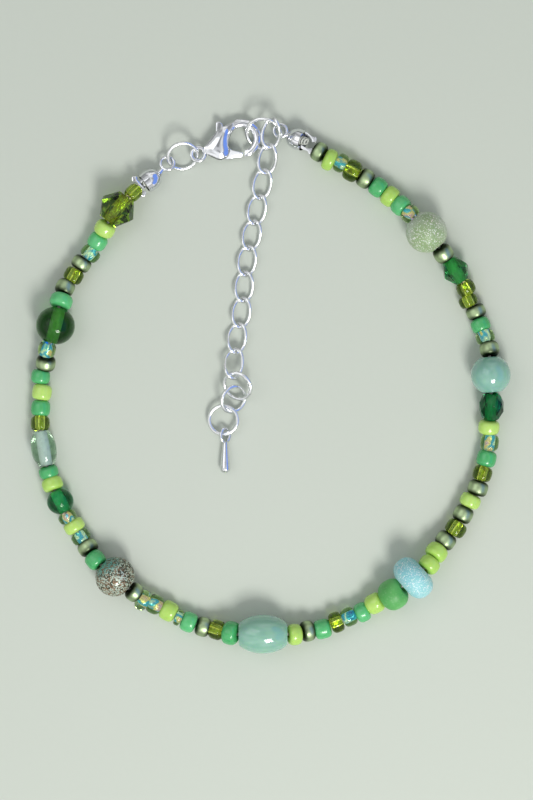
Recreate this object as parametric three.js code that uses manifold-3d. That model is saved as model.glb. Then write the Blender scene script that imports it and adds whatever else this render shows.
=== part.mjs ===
// A beaded anklet lying in a ring, its clasp fastened and its extender chain inside the ring.
// Millimetres, +Z up. The origin is the middle of the anklet's footprint, on the surface it lies on.
import * as THREE from "three";
import { mergeVertices } from "three/addons/utils/BufferGeometryUtils.js";
import Module from "manifold-3d";

const wasm = await Module();
wasm.setup();

// Driving dimensions.
const THREAD = 0.5; // thread diameter
const BORE = 1.2; // hole through each large bead
const GAP = 0.3; // clearance between neighbouring pieces
const BEAD_GAP = 0.5; // room between the end faces of a large bead and its neighbour
const SEED_OVERLAP = 0.05; // how far each joined seed bead runs into the next one
const LIFT_SLOPE = 0.35; // how steeply the thread climbs towards a large bead
const WIRE = 0.46; // jump-ring wire diameter
const LINK_WIRE = 0.43; // chain wire diameter
const LINK = { long: 5.15, wide: 3.2, count: 10, twist: 0.68, rolls: [-14, -11] };
const SILVER = { color: 0xd4d7da, roughness: 0.22, metalness: 1 };

// The line the thread lies along, from the left calotte round to the right one (x, y).
const THREAD_ROUTE = [
  [-20.53, 30.67], [-23.9, 27.3], [-27.0, 22.3], [-30.2, 18.0], [-32.5, 13.4], [-33.6, 9.2],
  [-34.9, 4.4], [-35.7, -1.0], [-36.0, -6.0], [-35.5, -10.0], [-34.1, -15.6], [-32.7, -18.6],
  [-29.6, -23.9], [-27.1, -27.4], [-24.1, -30.1], [-19.8, -33.5], [-15.9, -35.5], [-10.5, -37.8],
  [-6.2, -38.9], [-1.0, -39.0], [5.0, -38.8], [10.4, -37.3], [14.4, -35.4], [19.2, -32.6],
  [22.4, -30.3], [26.0, -26.3], [29.0, -22.4], [31.4, -18.2], [33.1, -13.9], [34.2, -9.2],
  [34.6, -3.5], [34.5, 1.4], [33.7, 7.4], [32.0, 11.4], [30.5, 14.7], [28.9, 17.7],
  [24.6, 23.6], [20.6, 27.8], [16.9, 30.9], [12.8, 33.5], [9.4, 35.3], [6.82, 36.95],
];

// Every bead in order along that line: kind, length along the thread, diameter, and how far it hangs
// to the left of the thread's line where its bore leaves it room to.
const BEAD_CHART = [
  ["olive_glass", 2.2, 3.0], ["bicone_olive", 5.1, 5.9, -0.2], ["lime", 2.2, 3.3], ["jade", 2.35, 3.05],
  ["rainbow", 2.05, 3.1, 0.2], ["olive_metal", 2.2, 3.1], ["olive_glass", 2.3, 3.05],
  ["olive_metal", 2.3, 3.0, -0.3], ["jade", 2.1, 3.6], ["round_green", 5.8, 6.1, 0.2],
  ["rainbow", 2.1, 2.8, -0.2], ["olive_metal", 2.2, 3.1], ["jade", 2.25, 3.0, -0.5],
  ["lime", 2.55, 3.1], ["jade", 2.5, 3.05], ["olive_glass", 2.3, 3.0], ["oval_clear", 5.65, 4.0],
  ["jade", 1.9, 3.1], ["lime", 2.15, 3.35], ["round_dark_green", 3.85, 4.2],
  ["rainbow", 1.5, 2.9, -0.2], ["lime", 2.1, 3.35], ["rainbow", 1.9, 3.1], ["olive_metal", 2.1, 3.2],
  ["jade", 2.4, 3.1, -0.2], ["ball_glitter", 5.7, 6.25], ["olive_metal", 2.0, 3.0],
  ["rainbow", 1.65, 3.35, -0.3], ["rainbow", 2.25, 3.1], ["lime", 2.6, 3.2],
  ["rainbow", 1.1, 2.6, -0.3], ["jade", 2.4, 3.2, -0.3], ["olive_metal", 2.3, 3.1, -0.2],
  ["olive_glass", 2.2, 3.1], ["jade", 2.3, 3.75], ["barrel_turquoise", 7.8, 6.1],
  ["lime", 2.1, 3.35, -0.2], ["olive_metal", 2.05, 3.3], ["jade", 2.7, 3.1, -0.3],
  ["olive_glass", 2.1, 3.3], ["rainbow", 2.2, 3.0], ["jade", 2.2, 3.1, -0.3], ["lime", 2.6, 3.2],
  ["rondelle_matt_green", 3.8, 4.85, -0.2], ["rondelle_frosted_blue", 4.35, 7.0],
  ["lime", 2.15, 3.3, -0.3], ["lime", 2.25, 3.5], ["olive_metal", 2.5, 3.2],
  ["olive_glass", 2.4, 3.3, -0.2], ["olive_metal", 2.6, 3.1], ["lime", 2.2, 3.3],
  ["olive_metal", 2.4, 3.2, -0.3], ["olive_glass", 2.35, 3.05, -0.2], ["jade", 2.55, 3.1, -0.2],
  ["rainbow", 2.55, 2.9, -0.2], ["lime", 2.25, 3.35, 0.2], ["faceted_dark_green", 4.3, 4.05],
  ["round_turquoise", 5.7, 6.25], ["olive_metal", 2.25, 3.05, -0.2], ["rainbow", 1.8, 3.0],
  ["jade", 2.25, 3.05], ["olive_metal", 2.2, 3.1, -0.2], ["olive_glass", 1.9, 3.0, 0.2],
  ["olive_glass", 2.1, 3.0, -0.3], ["bicone_green", 4.2, 4.2, -0.2], ["olive_metal", 2.4, 3.1],
  ["round_frosted", 6.1, 6.4], ["rainbow", 1.7, 3.0], ["jade", 2.2, 3.2], ["lime", 2.3, 3.3],
  ["jade", 2.45, 3.1], ["olive_metal", 2.35, 3.1], ["olive_glass", 2.5, 3.5],
  ["rainbow", 1.75, 3.05, -0.2], ["lime", 1.95, 3.5, 0.2], ["olive_metal", 2.1, 3.1],
];

// Large beads: outline, diameter of the flat ends, sides, and colour.
const LARGE_BEADS = {
  bicone_olive: { form: "cone", face: 3.0, sides: 10, color: 0x6f8a1e },
  round_green: { form: "round", face: 2.0, sides: 15, color: 0x2f6a33 },
  oval_clear: { form: "round", face: 2.4, sides: 8, color: 0xb9d2bd },
  round_dark_green: { form: "round", face: 1.7, sides: 14, color: 0x0a5c35 },
  ball_glitter: { form: "round", face: 2.5, sides: 15, color: 0x8f8a80 },
  barrel_turquoise: { form: "round", face: 3.4, sides: 15, color: 0x7fb9a2 },
  rondelle_matt_green: { form: "round", face: 2.9, sides: 14, color: 0x4f9a52 },
  rondelle_frosted_blue: { form: "round", face: 3.8, sides: 15, color: 0x86c6cc },
  faceted_dark_green: { form: "round", face: 2.1, sides: 10, color: 0x02512f },
  round_turquoise: { form: "round", face: 2.9, sides: 15, color: 0x7fb9a2 },
  bicone_green: { form: "cone", face: 2.2, sides: 10, color: 0x2c7a4a },
  round_frosted: { form: "round", face: 2.5, sides: 15, color: 0xb4c5a4 },
};

// Seed-bead glass, by kind.
const SEED_COLORS = {
  lime: 0xb4dc66,
  jade: 0x57b97d,
  olive_metal: 0x85885f,
  olive_glass: 0x4f6410,
  rainbow: 0x5f8a52,
};

// Jump rings: centre, height of the centre, ring radius, tilt, and which way its high side faces.
const JUMP_RINGS = [
  { name: "jump_ring_left", x: -13.68, y: 35.73, z: 1.63, radius: 2.32, tilt: 37, high: 107 },
  { name: "jump_ring_right", x: -1.0, y: 39.18, z: 1.91, radius: 2.7, tilt: 38, high: 74 },
  { name: "drop_ring_upper", x: -5.1, y: -0.25, z: 1.73, radius: 2.25, tilt: 35, high: 49 },
  { name: "drop_ring_middle", x: -5.71, y: -2.33, z: 1.6, radius: 2.1, tilt: 37, high: 149 },
  { name: "drop_ring_lower", x: -7.32, y: -5.6, z: 1.16, radius: 2.24, tilt: 9, high: 48 },
];

// The middle line of the extender chain, from the clasp end to the drop (x, y, height).
const CHAIN_ROUTE = [
  [0.17, 39.24, 2.69], [-0.35, 35.56, 1.7], [-1.6, 29.6, 0.83], [-3.6, 19.5, 0.78],
  [-4.5, 11.3, 0.76], [-5.2, 7.2, 1.0], [-5.68, 3.27, 1.85],
];

const CALOTTE = { wide: 3.1, wall: 0.3, apex: 1.4, deep: 2.2, neck: 0.42, knot: 1.3 };
const CALOTTES = [
  {
    name: "calotte_left", x: -18.6, y: 32.1, z: 1.75, heading: 45, lips: [1.3, 2.2],
    loop: { x: -16.09, y: 34.63, z: 1.4, radius: 1.08, tilt: 14, high: -80 },
  },
  {
    name: "calotte_right", x: 4.15, y: 38.45, z: 1.6, heading: 155, lips: [1.5, 2.6],
    loop: { x: 1.62, y: 39.7, z: 1.51, radius: 1.02, tilt: 9, high: 42 },
  },
];

const CLASP = {
  x: -11.25, y: 36.05, turn: 16, // eye centre, and the clasp's heading
  thick: 2.4, bevel: 0.3, cheek: 0.5,
  hookThick: 1.2, hookMiddle: 1.3, hookBevel: 0.2,
  eyeRadius: 1.08, eyeHeight: 1.38,
  pivot: [3.4, -0.3], pinRadius: 0.35,
  lobe: 1.42, // body radius round the pivot
};
const LEVER = {
  thick: 0.8, hub: 1.1,
  fans: [{ from: 48, to: 132, reach: 6.5 }, { from: -92, to: 40, reach: 5 }], // room to swing, degrees
};

const DROP = {
  x: -7.03, y: -8.02, z: 0.96, // eye centre
  roll: 42, // how far the eye is rolled about the drop's length
  long: 4.9, neck: 0.75, foot: 1.6, eyeWide: 2.3, eyeLong: 2.7,
};

const rad = THREE.MathUtils.degToRad;
const UP = new THREE.Vector3(0, 1, 0); // the axis that LatheGeometry turns about

/** A three.js geometry, moved by a matrix if one is given, as a manifold-3d solid. */
function solidOf(geometry, matrix = new THREE.Matrix4()) {
  const bare = geometry.clone().applyMatrix4(matrix);
  bare.deleteAttribute("normal");
  bare.deleteAttribute("uv");
  const merged = mergeVertices(bare, 1e-5);
  return new wasm.Manifold(new wasm.Mesh({
    numProp: 3,
    vertProperties: merged.attributes.position.array,
    triVerts: new Uint32Array(merged.index.array),
  }));
}

/** A manifold-3d solid as a three.js geometry. */
function geometryOf(solid) {
  const { vertProperties, triVerts } = solid.getMesh();
  const geometry = new THREE.BufferGeometry();
  geometry.setAttribute("position", new THREE.BufferAttribute(vertProperties, 3));
  geometry.setIndex(new THREE.BufferAttribute(triVerts, 1));
  return geometry;
}

function join(solids) {
  return solids.reduce((whole, next) => whole.add(next));
}

function named(name, geometry, finish) {
  const mesh = new THREE.Mesh(geometry, new THREE.MeshStandardMaterial({ ...finish, flatShading: true }));
  mesh.name = name;
  return mesh;
}

/** The matrix that stands a lathe's axis from one point towards another, at the middle of the two. */
function along(from, to) {
  const heading = to.clone().sub(from).normalize();
  const turn = new THREE.Quaternion().setFromUnitVectors(UP, heading);
  return new THREE.Matrix4().compose(from.clone().lerp(to, 0.5), turn, new THREE.Vector3(1, 1, 1));
}

/** A lathe of rows [radius, height] about the Y axis. */
function lathe(rows, sides) {
  return new THREE.LatheGeometry(rows.map(([r, y]) => new THREE.Vector2(r, y)), sides);
}

// --- beads -------------------------------------------------------------------------------------

/** The chart as objects, each with the two points where its ends meet the beads beside it. */
function layBeads() {
  const beads = BEAD_CHART.map(([kind, long, wide, aside = 0]) => {
    return { kind, long, wide, aside, large: kind in LARGE_BEADS };
  });
  const route = new THREE.CatmullRomCurve3(THREAD_ROUTE.map(([x, y]) => new THREE.Vector3(x, y, 0)));
  route.arcLengthDivisions = 2000;
  const total = beads.reduce((sum, bead) => sum + bead.long, 0);
  const stretch = route.getLength() / total;
  let reached = 0;
  for (const bead of beads) {
    bead.long *= stretch;
    bead.start = reached;
    reached += bead.long;
  }
  const ends = [0, ...beads.map((bead) => bead.start + bead.long)];
  const points = ends.map((s) => {
    const point = route.getPointAt(Math.min(s / reached, 1));
    point.z = threadHeight(beads, s);
    return point;
  });
  beads.forEach((bead, i) => Object.assign(bead, { from: points[i], to: points[i + 1] }));
  return beads;
}

/** Height of the thread: every bead rests on the surface or is held up by a larger one near it. */
function threadHeight(beads, s) {
  const heights = beads.map((bead) => {
    const away = Math.max(0, Math.abs(s - bead.start - bead.long / 2) - bead.long / 2);
    return bead.wide / 2 - LIFT_SLOPE * away;
  });
  return Math.max(...heights);
}

/** A large bead's outer outline as rows [radius, height], between flat ends. */
function largeOutline({ form, face }, wide, long) {
  const ratio = face / wide;
  const steps = form === "cone" ? [-1, -0.08, 0.08, 1] : [-1, -0.88, -0.58, -0.2, 0.2, 0.58, 0.88, 1];
  return steps.map((t) => {
    const shape = form === "cone" ? 1 - (1 - ratio) * Math.abs(t) : Math.sqrt(1 - (1 - ratio ** 2) * t * t);
    return [(wide / 2) * shape, (long / 2) * t];
  });
}

/** A bead's two ends, moved aside from the thread's line. */
function endsOf({ from, to, aside }) {
  const left = new THREE.Vector3(from.y - to.y, to.x - from.x, 0).setLength(Math.abs(aside));
  const side = left.multiplyScalar(Math.sign(aside));
  return [from.clone().add(side), to.clone().add(side)];
}

function largeBead(bead) {
  const style = LARGE_BEADS[bead.kind];
  const long = bead.from.distanceTo(bead.to) - BEAD_GAP;
  const outline = largeOutline(style, bead.wide, long);
  const rows = [[BORE / 2, -long / 2], ...outline, [BORE / 2, long / 2], [BORE / 2, -long / 2]];
  const geometry = lathe(rows, style.sides).applyMatrix4(along(...endsOf(bead)));
  return named(`bead_${bead.kind}`, geometry, { color: style.color, roughness: 0.25, metalness: 0 });
}

/** A seed bead: a short barrel with rounded shoulders, between two trimmed ends. */
function seedSolid(bead, trimFrom, trimTo) {
  const heading = bead.to.clone().sub(bead.from).normalize();
  const [from, to] = endsOf(bead);
  from.addScaledVector(heading, trimFrom);
  to.addScaledVector(heading, -trimTo);
  const r = bead.wide / 2;
  const h = from.distanceTo(to) / 2;
  const rows = [[0, -h], [0.62 * r, -h], [r, -0.45 * h], [r, 0.45 * h], [0.62 * r, h], [0, h]];
  return solidOf(lathe(rows, 8), along(from, to));
}

/** A straight piece of thread between two points. */
function threadSolid(from, to) {
  const long = from.distanceTo(to);
  return solidOf(new THREE.CylinderGeometry(THREAD / 2, THREAD / 2, long, 6), along(from, to));
}

/** The thread that leaves a run of seeds through the bored beads next to it, half way into the last. */
function threadTail(bored) {
  return bored.map((bead, i) => {
    const heading = bead.to.clone().sub(bead.from).normalize();
    const from = bead.from.clone().addScaledVector(heading, i === 0 ? -0.5 : -0.1);
    const middle = bead.from.clone().lerp(bead.to, 0.5).addScaledVector(heading, -GAP / 2);
    const to = i === bored.length - 1 ? middle : bead.to.clone().addScaledVector(heading, 0.1);
    return threadSolid(from, to);
  });
}

/** The same bead seen from the other end. */
function reversed(bead) {
  return { ...bead, from: bead.to, to: bead.from };
}

/** A knot at the end of the thread, inside a calotte's mouth. */
function knotSolid(bead, end) {
  const inward = bead.to.clone().sub(bead.from).normalize().multiplyScalar(end === "from" ? -1 : 1);
  const tip = (end === "from" ? bead.from : bead.to).clone();
  const knot = tip.clone().addScaledVector(inward, 0.75);
  const ball = new THREE.SphereGeometry(CALOTTE.knot / 2, 10, 6);
  const moved = new THREE.Matrix4().makeTranslation(knot.x, knot.y, knot.z);
  return [threadSolid(tip.addScaledVector(inward, -0.5), knot), solidOf(ball, moved)];
}

/** Runs of seed beads between large beads, each one joined along its thread. */
function seedRuns(beads) {
  const runs = [];
  beads.forEach((bead, i) => {
    if (bead.large) return;
    if (i === 0 || beads[i - 1].large) runs.push([]);
    runs.at(-1).push(i);
  });
  return runs.map((run, k) => {
    const first = run[0];
    const last = run.at(-1);
    const parts = run.map((i) => {
      const trimFrom = i === first && i > 0 ? BEAD_GAP / 2 : -SEED_OVERLAP;
      const trimTo = i === last && i < beads.length - 1 ? BEAD_GAP / 2 : -SEED_OVERLAP;
      return seedSolid(beads[i], trimFrom, trimTo);
    });
    if (first === 0) parts.push(...knotSolid(beads[0], "from"));
    else parts.push(...threadTail([reversed(beads[first - 1])]));
    if (last === beads.length - 1) parts.push(...knotSolid(beads[last], "to"));
    else parts.push(...threadTail(boredAfter(beads, last)));
    const color = blend(run.map((i) => SEED_COLORS[beads[i].kind]));
    const finish = { color, roughness: 0.3, metalness: 0 };
    return named(`seed_run_${String(k + 1).padStart(2, "0")}`, geometryOf(join(parts)), finish);
  });
}

/** The large beads that follow a run, up to and with the one where the next run's thread ends. */
function boredAfter(beads, last) {
  const bored = [];
  for (let i = last + 1; i < beads.length && beads[i].large; i += 1) bored.push(beads[i]);
  return bored;
}

function blend(colors) {
  const sum = new THREE.Color(0);
  colors.forEach((color) => sum.add(new THREE.Color(color)));
  return sum.multiplyScalar(1 / colors.length);
}

// --- jump rings and chain ----------------------------------------------------------------------

/** Where a tilted ring sits: tipped so that its side towards the heading `high` is raised. */
function ringMatrix({ x, y, z, tilt, high }) {
  const axis = new THREE.Vector3(Math.sin(rad(high)), -Math.cos(rad(high)), 0);
  return new THREE.Matrix4().makeRotationAxis(axis, rad(tilt)).setPosition(x, y, z);
}

function jumpRing(ring) {
  const torus = new THREE.TorusGeometry(ring.radius, WIRE / 2, 6, 20);
  return named(ring.name, torus.applyMatrix4(ringMatrix(ring)), SILVER);
}

/** The middle line of one curb link: an oval along X whose ends are twisted opposite ways. */
class LinkCurve extends THREE.Curve {
  getPoint(t, target = new THREE.Vector3()) {
    const turn = 2 * Math.PI * t;
    const side = ((LINK.wide - LINK_WIRE) / 2) * Math.sin(turn);
    const lift = -LINK.twist * side * Math.cos(turn);
    return target.set(((LINK.long - LINK_WIRE) / 2) * Math.cos(turn), side, lift);
  }
}

function extenderChain() {
  const route = new THREE.CatmullRomCurve3(CHAIN_ROUTE.map((row) => new THREE.Vector3(...row)));
  const links = [];
  for (let i = 0; i < LINK.count; i += 1) {
    const u = i / (LINK.count - 1);
    const tangent = route.getTangentAt(u);
    const geometry = new THREE.TubeGeometry(new LinkCurve(), 18, LINK_WIRE / 2, 6, true);
    const link = named(`chain_link_${String(i + 1).padStart(2, "0")}`, geometry, SILVER);
    link.position.copy(route.getPointAt(u));
    link.rotation.order = "ZYX";
    link.rotation.z = Math.atan2(-tangent.y, -tangent.x);
    link.rotation.y = Math.asin(tangent.z);
    link.rotation.x = rad(LINK.rolls[i] ?? 0);
    links.push(link);
  }
  return links;
}

// --- calottes ----------------------------------------------------------------------------------

/** A cup over the knot, open towards the beads, with a neck, a closed loop and two bent lips. */
function calotte({ name, x, y, z, heading, lips, loop }) {
  const r = CALOTTE.wide / 2;
  const inner = r - CALOTTE.wall;
  const { apex } = CALOTTE;
  const mouth = apex - CALOTTE.deep;
  const cup = [
    [0, apex - CALOTTE.wall], [0.7 * inner, 0.66 * apex - CALOTTE.wall], [inner, 0], [0.93 * inner, mouth],
    [0.93 * r, mouth], [r, 0], [0.72 * r, 0.66 * apex], [0, apex],
  ];
  const place = new THREE.Matrix4().makeRotationZ(rad(heading)).setPosition(x, y, z);
  const lying = place.clone().multiply(new THREE.Matrix4().makeRotationZ(-Math.PI / 2));
  const top = new THREE.Vector3(apex - 0.3, 0, 0).applyMatrix4(place);
  const eye = new THREE.Vector3(loop.x, loop.y, loop.z);
  const meet = eye.clone().lerp(top, loop.radius / eye.distanceTo(top));
  const neck = new THREE.CylinderGeometry(0.26, CALOTTE.neck, top.distanceTo(meet), 8);
  const parts = [
    solidOf(lathe(cup, 14), lying),
    solidOf(neck, along(top, meet)),
    solidOf(new THREE.TorusGeometry(loop.radius, WIRE / 2, 6, 16), ringMatrix(loop)),
    ...lips.map((long, i) => lipSolid(long, i === 0 ? 1 : -1, mouth, r, place)),
  ];
  return named(name, geometryOf(join(parts)), SILVER);
}

/** One lip: a thin strip that leaves the cup's rim and leans outwards. */
function lipSolid(long, side, mouth, r, place) {
  const strip = new THREE.Shape([
    new THREE.Vector2(mouth + 0.35, side * (0.93 * r - 0.28)),
    new THREE.Vector2(mouth + 0.35, side * (0.93 * r - 0.03)),
    new THREE.Vector2(mouth - long, side * (r + 0.55)),
    new THREE.Vector2(mouth - long, side * (r + 0.3)),
  ]);
  const wide = 1.2;
  const plate = new THREE.ExtrudeGeometry(strip, { depth: wide, bevelEnabled: false });
  return solidOf(plate, place.clone().multiply(new THREE.Matrix4().makeTranslation(0, 0, -wide / 2)));
}

// --- clasp -------------------------------------------------------------------------------------

/** A plan outline made solid between two heights, with its edges bevelled. */
function slab(shape, low, high, bevel) {
  const geometry = new THREE.ExtrudeGeometry(shape, {
    depth: high - low - 2 * bevel,
    bevelEnabled: bevel > 0,
    bevelThickness: bevel,
    bevelSize: bevel,
    bevelOffset: -bevel,
    bevelSegments: 1,
    curveSegments: 6,
  });
  return solidOf(geometry, new THREE.Matrix4().makeTranslation(0, 0, low + bevel));
}

/** The teardrop heel of the clasp, from the eye's neck to the rounded lobe round the pivot. */
function heelShape() {
  const [px, py] = CLASP.pivot;
  const shape = new THREE.Shape();
  shape.moveTo(1.15, -0.25);
  shape.lineTo(1.15, 0.8);
  shape.lineTo(3.65, 2.6);
  shape.quadraticCurveTo(4.9, 3.35, 6.5, 3.4);
  shape.lineTo(6.5, 2.1);
  shape.quadraticCurveTo(5.35, 1.2, 4.87, 0.1);
  shape.absarc(px, py, CLASP.lobe, rad(-5), rad(-118), true);
  shape.closePath();
  return shape;
}

/** Points along an arc, its angles in degrees. */
function arc([x, y], radius, from, to, steps) {
  return Array.from({ length: steps + 1 }, (_, i) => {
    const turn = rad(from + ((to - from) * i) / steps);
    return new THREE.Vector2(x + radius * Math.cos(turn), y + radius * Math.sin(turn));
  });
}

/** The hook: a bar between two nearly concentric arcs, from the heel round to its tip. */
function hookShape() {
  const outer = arc([7.3, 0.6], 2.87, 105, -99, 12);
  const inner = arc([7.28, 0.45], 1.97, -95, 155, 12);
  const root = [new THREE.Vector2(4.9, 1.4), new THREE.Vector2(4.9, 2.9)];
  return new THREE.Shape([...outer, ...inner, ...root]);
}

/** The room that the lever sweeps inside the heel: round its hub, and a fan for each arm. */
function pocketShapes() {
  const pivot = new THREE.Vector2(...CLASP.pivot);
  const round = new THREE.Shape(arc(CLASP.pivot, LEVER.hub + GAP, 0, 330, 11));
  const fans = LEVER.fans.map(({ from, to, reach }) => {
    return new THREE.Shape([pivot, ...arc(CLASP.pivot, reach, from, to, 4)]);
  });
  return [round, ...fans];
}

function claspBody() {
  const { thick, bevel, cheek, hookThick, hookMiddle, hookBevel, eyeRadius, eyeHeight } = CLASP;
  const lowHook = hookMiddle - hookThick / 2;
  const heel = slab(heelShape(), 0, thick, bevel);
  let body = heel.add(slab(hookShape(), lowHook, lowHook + hookThick, hookBevel));
  for (const room of pocketShapes()) body = body.subtract(slab(room, cheek, thick - cheek, 0));
  const eye = new THREE.TorusGeometry(eyeRadius, WIRE / 2, 6, 18);
  const neck = new THREE.BoxGeometry(0.6, 0.7, 0.8);
  const [px, py] = CLASP.pivot;
  const pin = new THREE.CylinderGeometry(CLASP.pinRadius, CLASP.pinRadius, thick - cheek, 10);
  const upright = new THREE.Matrix4().makeRotationX(Math.PI / 2).setPosition(px, py, thick / 2);
  body = join([
    body,
    solidOf(eye, new THREE.Matrix4().makeTranslation(0, 0, eyeHeight)),
    solidOf(neck, new THREE.Matrix4().makeTranslation(1.3, 0.2, eyeHeight)),
    solidOf(pin, upright),
  ]);
  return named("clasp_body", geometryOf(body), SILVER);
}

/** The lever: a hub on the pin, a gate that closes the hook, and a thumb tab on the far side. */
function claspLever() {
  const [px, py] = CLASP.pivot;
  const low = (CLASP.thick - LEVER.thick) / 2;
  const gate = new THREE.Shape([
    new THREE.Vector2(px - 0.3, py - LEVER.hub + 0.05),
    new THREE.Vector2(6.1, -2.37),
    new THREE.Vector2(6.66, -1.74),
    new THREE.Vector2(px + 0.9, py + 0.55),
  ]);
  const arm = new THREE.Shape([
    new THREE.Vector2(px - 0.25, py + 0.6),
    new THREE.Vector2(px + 0.35, py + 0.6),
    new THREE.Vector2(5.0, 3.3),
    new THREE.Vector2(4.67, 3.99),
    new THREE.Vector2(4.0, 4.09),
    new THREE.Vector2(3.65, 2.7),
  ]);
  const hub = new THREE.Shape().absarc(px, py, LEVER.hub, 0, 2 * Math.PI, false);
  const hole = new THREE.Shape().absarc(px, py, CLASP.pinRadius + GAP, 0, 2 * Math.PI, false);
  const plate = [gate, arm, hub].map((shape) => slab(shape, low, low + LEVER.thick, 0));
  const lever = join(plate).subtract(slab(hole, low - 1, low + LEVER.thick + 1, 0));
  return named("clasp_lever", geometryOf(lever), SILVER);
}

function clasp() {
  const group = new THREE.Group();
  group.add(claspBody(), claspLever());
  group.position.set(CLASP.x, CLASP.y, 0);
  group.rotation.z = rad(CLASP.turn);
  return group;
}

// --- drop --------------------------------------------------------------------------------------

/** The eye of the drop: an oval ring along Y. */
class EyeCurve extends THREE.Curve {
  getPoint(t, target = new THREE.Vector3()) {
    const turn = 2 * Math.PI * t;
    const wide = (DROP.eyeWide - WIRE) / 2;
    const long = (DROP.eyeLong - WIRE) / 2;
    return target.set(wide * Math.cos(turn), long * Math.sin(turn), 0);
  }
}

/** A slender tapered drop under its eye, lying flat. */
function drop() {
  const neck = -DROP.eyeLong / 2 + 0.3;
  const foot = neck - DROP.long;
  const rows = [
    [0, foot], [0.3 * DROP.foot, foot + 0.12], [DROP.foot / 2, foot + 0.65],
    [0.46 * DROP.foot, foot + 1.5], [DROP.neck / 2, neck], [0, neck],
  ];
  const eye = new THREE.TubeGeometry(new EyeCurve(), 18, WIRE / 2, 6, true).rotateY(rad(DROP.roll));
  const body = solidOf(lathe(rows, 12)).add(solidOf(eye));
  const mesh = named("drop", geometryOf(body), SILVER);
  mesh.position.set(DROP.x, DROP.y, DROP.z);
  return mesh;
}

// --- the anklet --------------------------------------------------------------------------------

const anklet = new THREE.Group();
const beads = layBeads();
beads.filter((bead) => bead.large).forEach((bead) => anklet.add(largeBead(bead)));
anklet.add(...seedRuns(beads));
anklet.add(...CALOTTES.map(calotte));
anklet.add(...JUMP_RINGS.map(jumpRing));
anklet.add(clasp());
anklet.add(...extenderChain());
anklet.add(drop());

export default anklet;
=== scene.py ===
"""A beaded glass anklet, its lobster clasp fastened and its extender chain lying inside the ring.

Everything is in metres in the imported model's frame, with +Z up and the origin under the middle of the ring.
The tables are in millimetres, as a maker would measure them, and each class turns its own into metres.
"""

from __future__ import annotations

import logging
import math
import random
from collections.abc import Callable, Sequence
from dataclasses import dataclass
from enum import Enum
from itertools import accumulate

import bmesh
import bpy
from mathutils import Matrix, Vector

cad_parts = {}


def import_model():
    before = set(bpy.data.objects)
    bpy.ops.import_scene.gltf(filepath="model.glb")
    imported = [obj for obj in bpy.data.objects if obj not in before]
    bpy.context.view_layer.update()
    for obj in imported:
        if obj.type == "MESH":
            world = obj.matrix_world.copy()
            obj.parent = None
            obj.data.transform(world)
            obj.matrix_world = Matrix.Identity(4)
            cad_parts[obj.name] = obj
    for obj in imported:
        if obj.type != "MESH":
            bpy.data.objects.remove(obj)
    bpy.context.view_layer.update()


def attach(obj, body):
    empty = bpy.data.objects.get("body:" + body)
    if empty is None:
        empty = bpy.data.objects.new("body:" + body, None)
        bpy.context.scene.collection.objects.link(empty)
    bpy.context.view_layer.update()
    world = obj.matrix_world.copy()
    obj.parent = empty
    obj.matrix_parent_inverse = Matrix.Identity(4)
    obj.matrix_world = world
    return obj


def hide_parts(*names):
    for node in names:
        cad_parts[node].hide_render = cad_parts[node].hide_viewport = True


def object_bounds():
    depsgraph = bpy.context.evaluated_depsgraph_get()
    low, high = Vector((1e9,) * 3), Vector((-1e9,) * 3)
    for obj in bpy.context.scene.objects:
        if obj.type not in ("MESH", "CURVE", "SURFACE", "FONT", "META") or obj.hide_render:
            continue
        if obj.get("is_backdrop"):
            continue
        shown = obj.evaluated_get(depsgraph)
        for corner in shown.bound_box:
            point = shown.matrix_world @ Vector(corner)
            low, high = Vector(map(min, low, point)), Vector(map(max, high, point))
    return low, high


LOG = logging.getLogger("anklet")
MM = 0.001
ANKLET = "anklet"
LEVER = "lever"
Color = tuple[float, float, float]
Outline = list[tuple[float, float]]

# The line the thread lies along, from the left calotte round to the right one (x, y).
THREAD_ROUTE = [
    (-20.53, 30.67), (-23.9, 27.3), (-27.0, 22.3), (-30.2, 18.0), (-32.5, 13.4), (-33.6, 9.2),
    (-34.9, 4.4), (-35.7, -1.0), (-36.0, -6.0), (-35.5, -10.0), (-34.1, -15.6), (-32.7, -18.6),
    (-29.6, -23.9), (-27.1, -27.4), (-24.1, -30.1), (-19.8, -33.5), (-15.9, -35.5), (-10.5, -37.8),
    (-6.2, -38.9), (-1.0, -39.0), (5.0, -38.8), (10.4, -37.3), (14.4, -35.4), (19.2, -32.6),
    (22.4, -30.3), (26.0, -26.3), (29.0, -22.4), (31.4, -18.2), (33.1, -13.9), (34.2, -9.2),
    (34.6, -3.5), (34.5, 1.4), (33.7, 7.4), (32.0, 11.4), (30.5, 14.7), (28.9, 17.7),
    (24.6, 23.6), (20.6, 27.8), (16.9, 30.9), (12.8, 33.5), (9.4, 35.3), (6.82, 36.95),
]


class Bead(Enum):
    """Every kind of bead on the strand."""

    LIME = "lime"
    JADE = "jade"
    OLIVE_METAL = "olive_metal"
    OLIVE_GLASS = "olive_glass"
    RAINBOW = "rainbow"
    BICONE_OLIVE = "bicone_olive"
    ROUND_GREEN = "round_green"
    OVAL_CLEAR = "oval_clear"
    ROUND_DARK_GREEN = "round_dark_green"
    BALL_GLITTER = "ball_glitter"
    BARREL_TURQUOISE = "barrel_turquoise"
    RONDELLE_MATT_GREEN = "rondelle_matt_green"
    RONDELLE_FROSTED_BLUE = "rondelle_frosted_blue"
    FACETED_DARK_GREEN = "faceted_dark_green"
    ROUND_TURQUOISE = "round_turquoise"
    BICONE_GREEN = "bicone_green"
    ROUND_FROSTED = "round_frosted"


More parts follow.
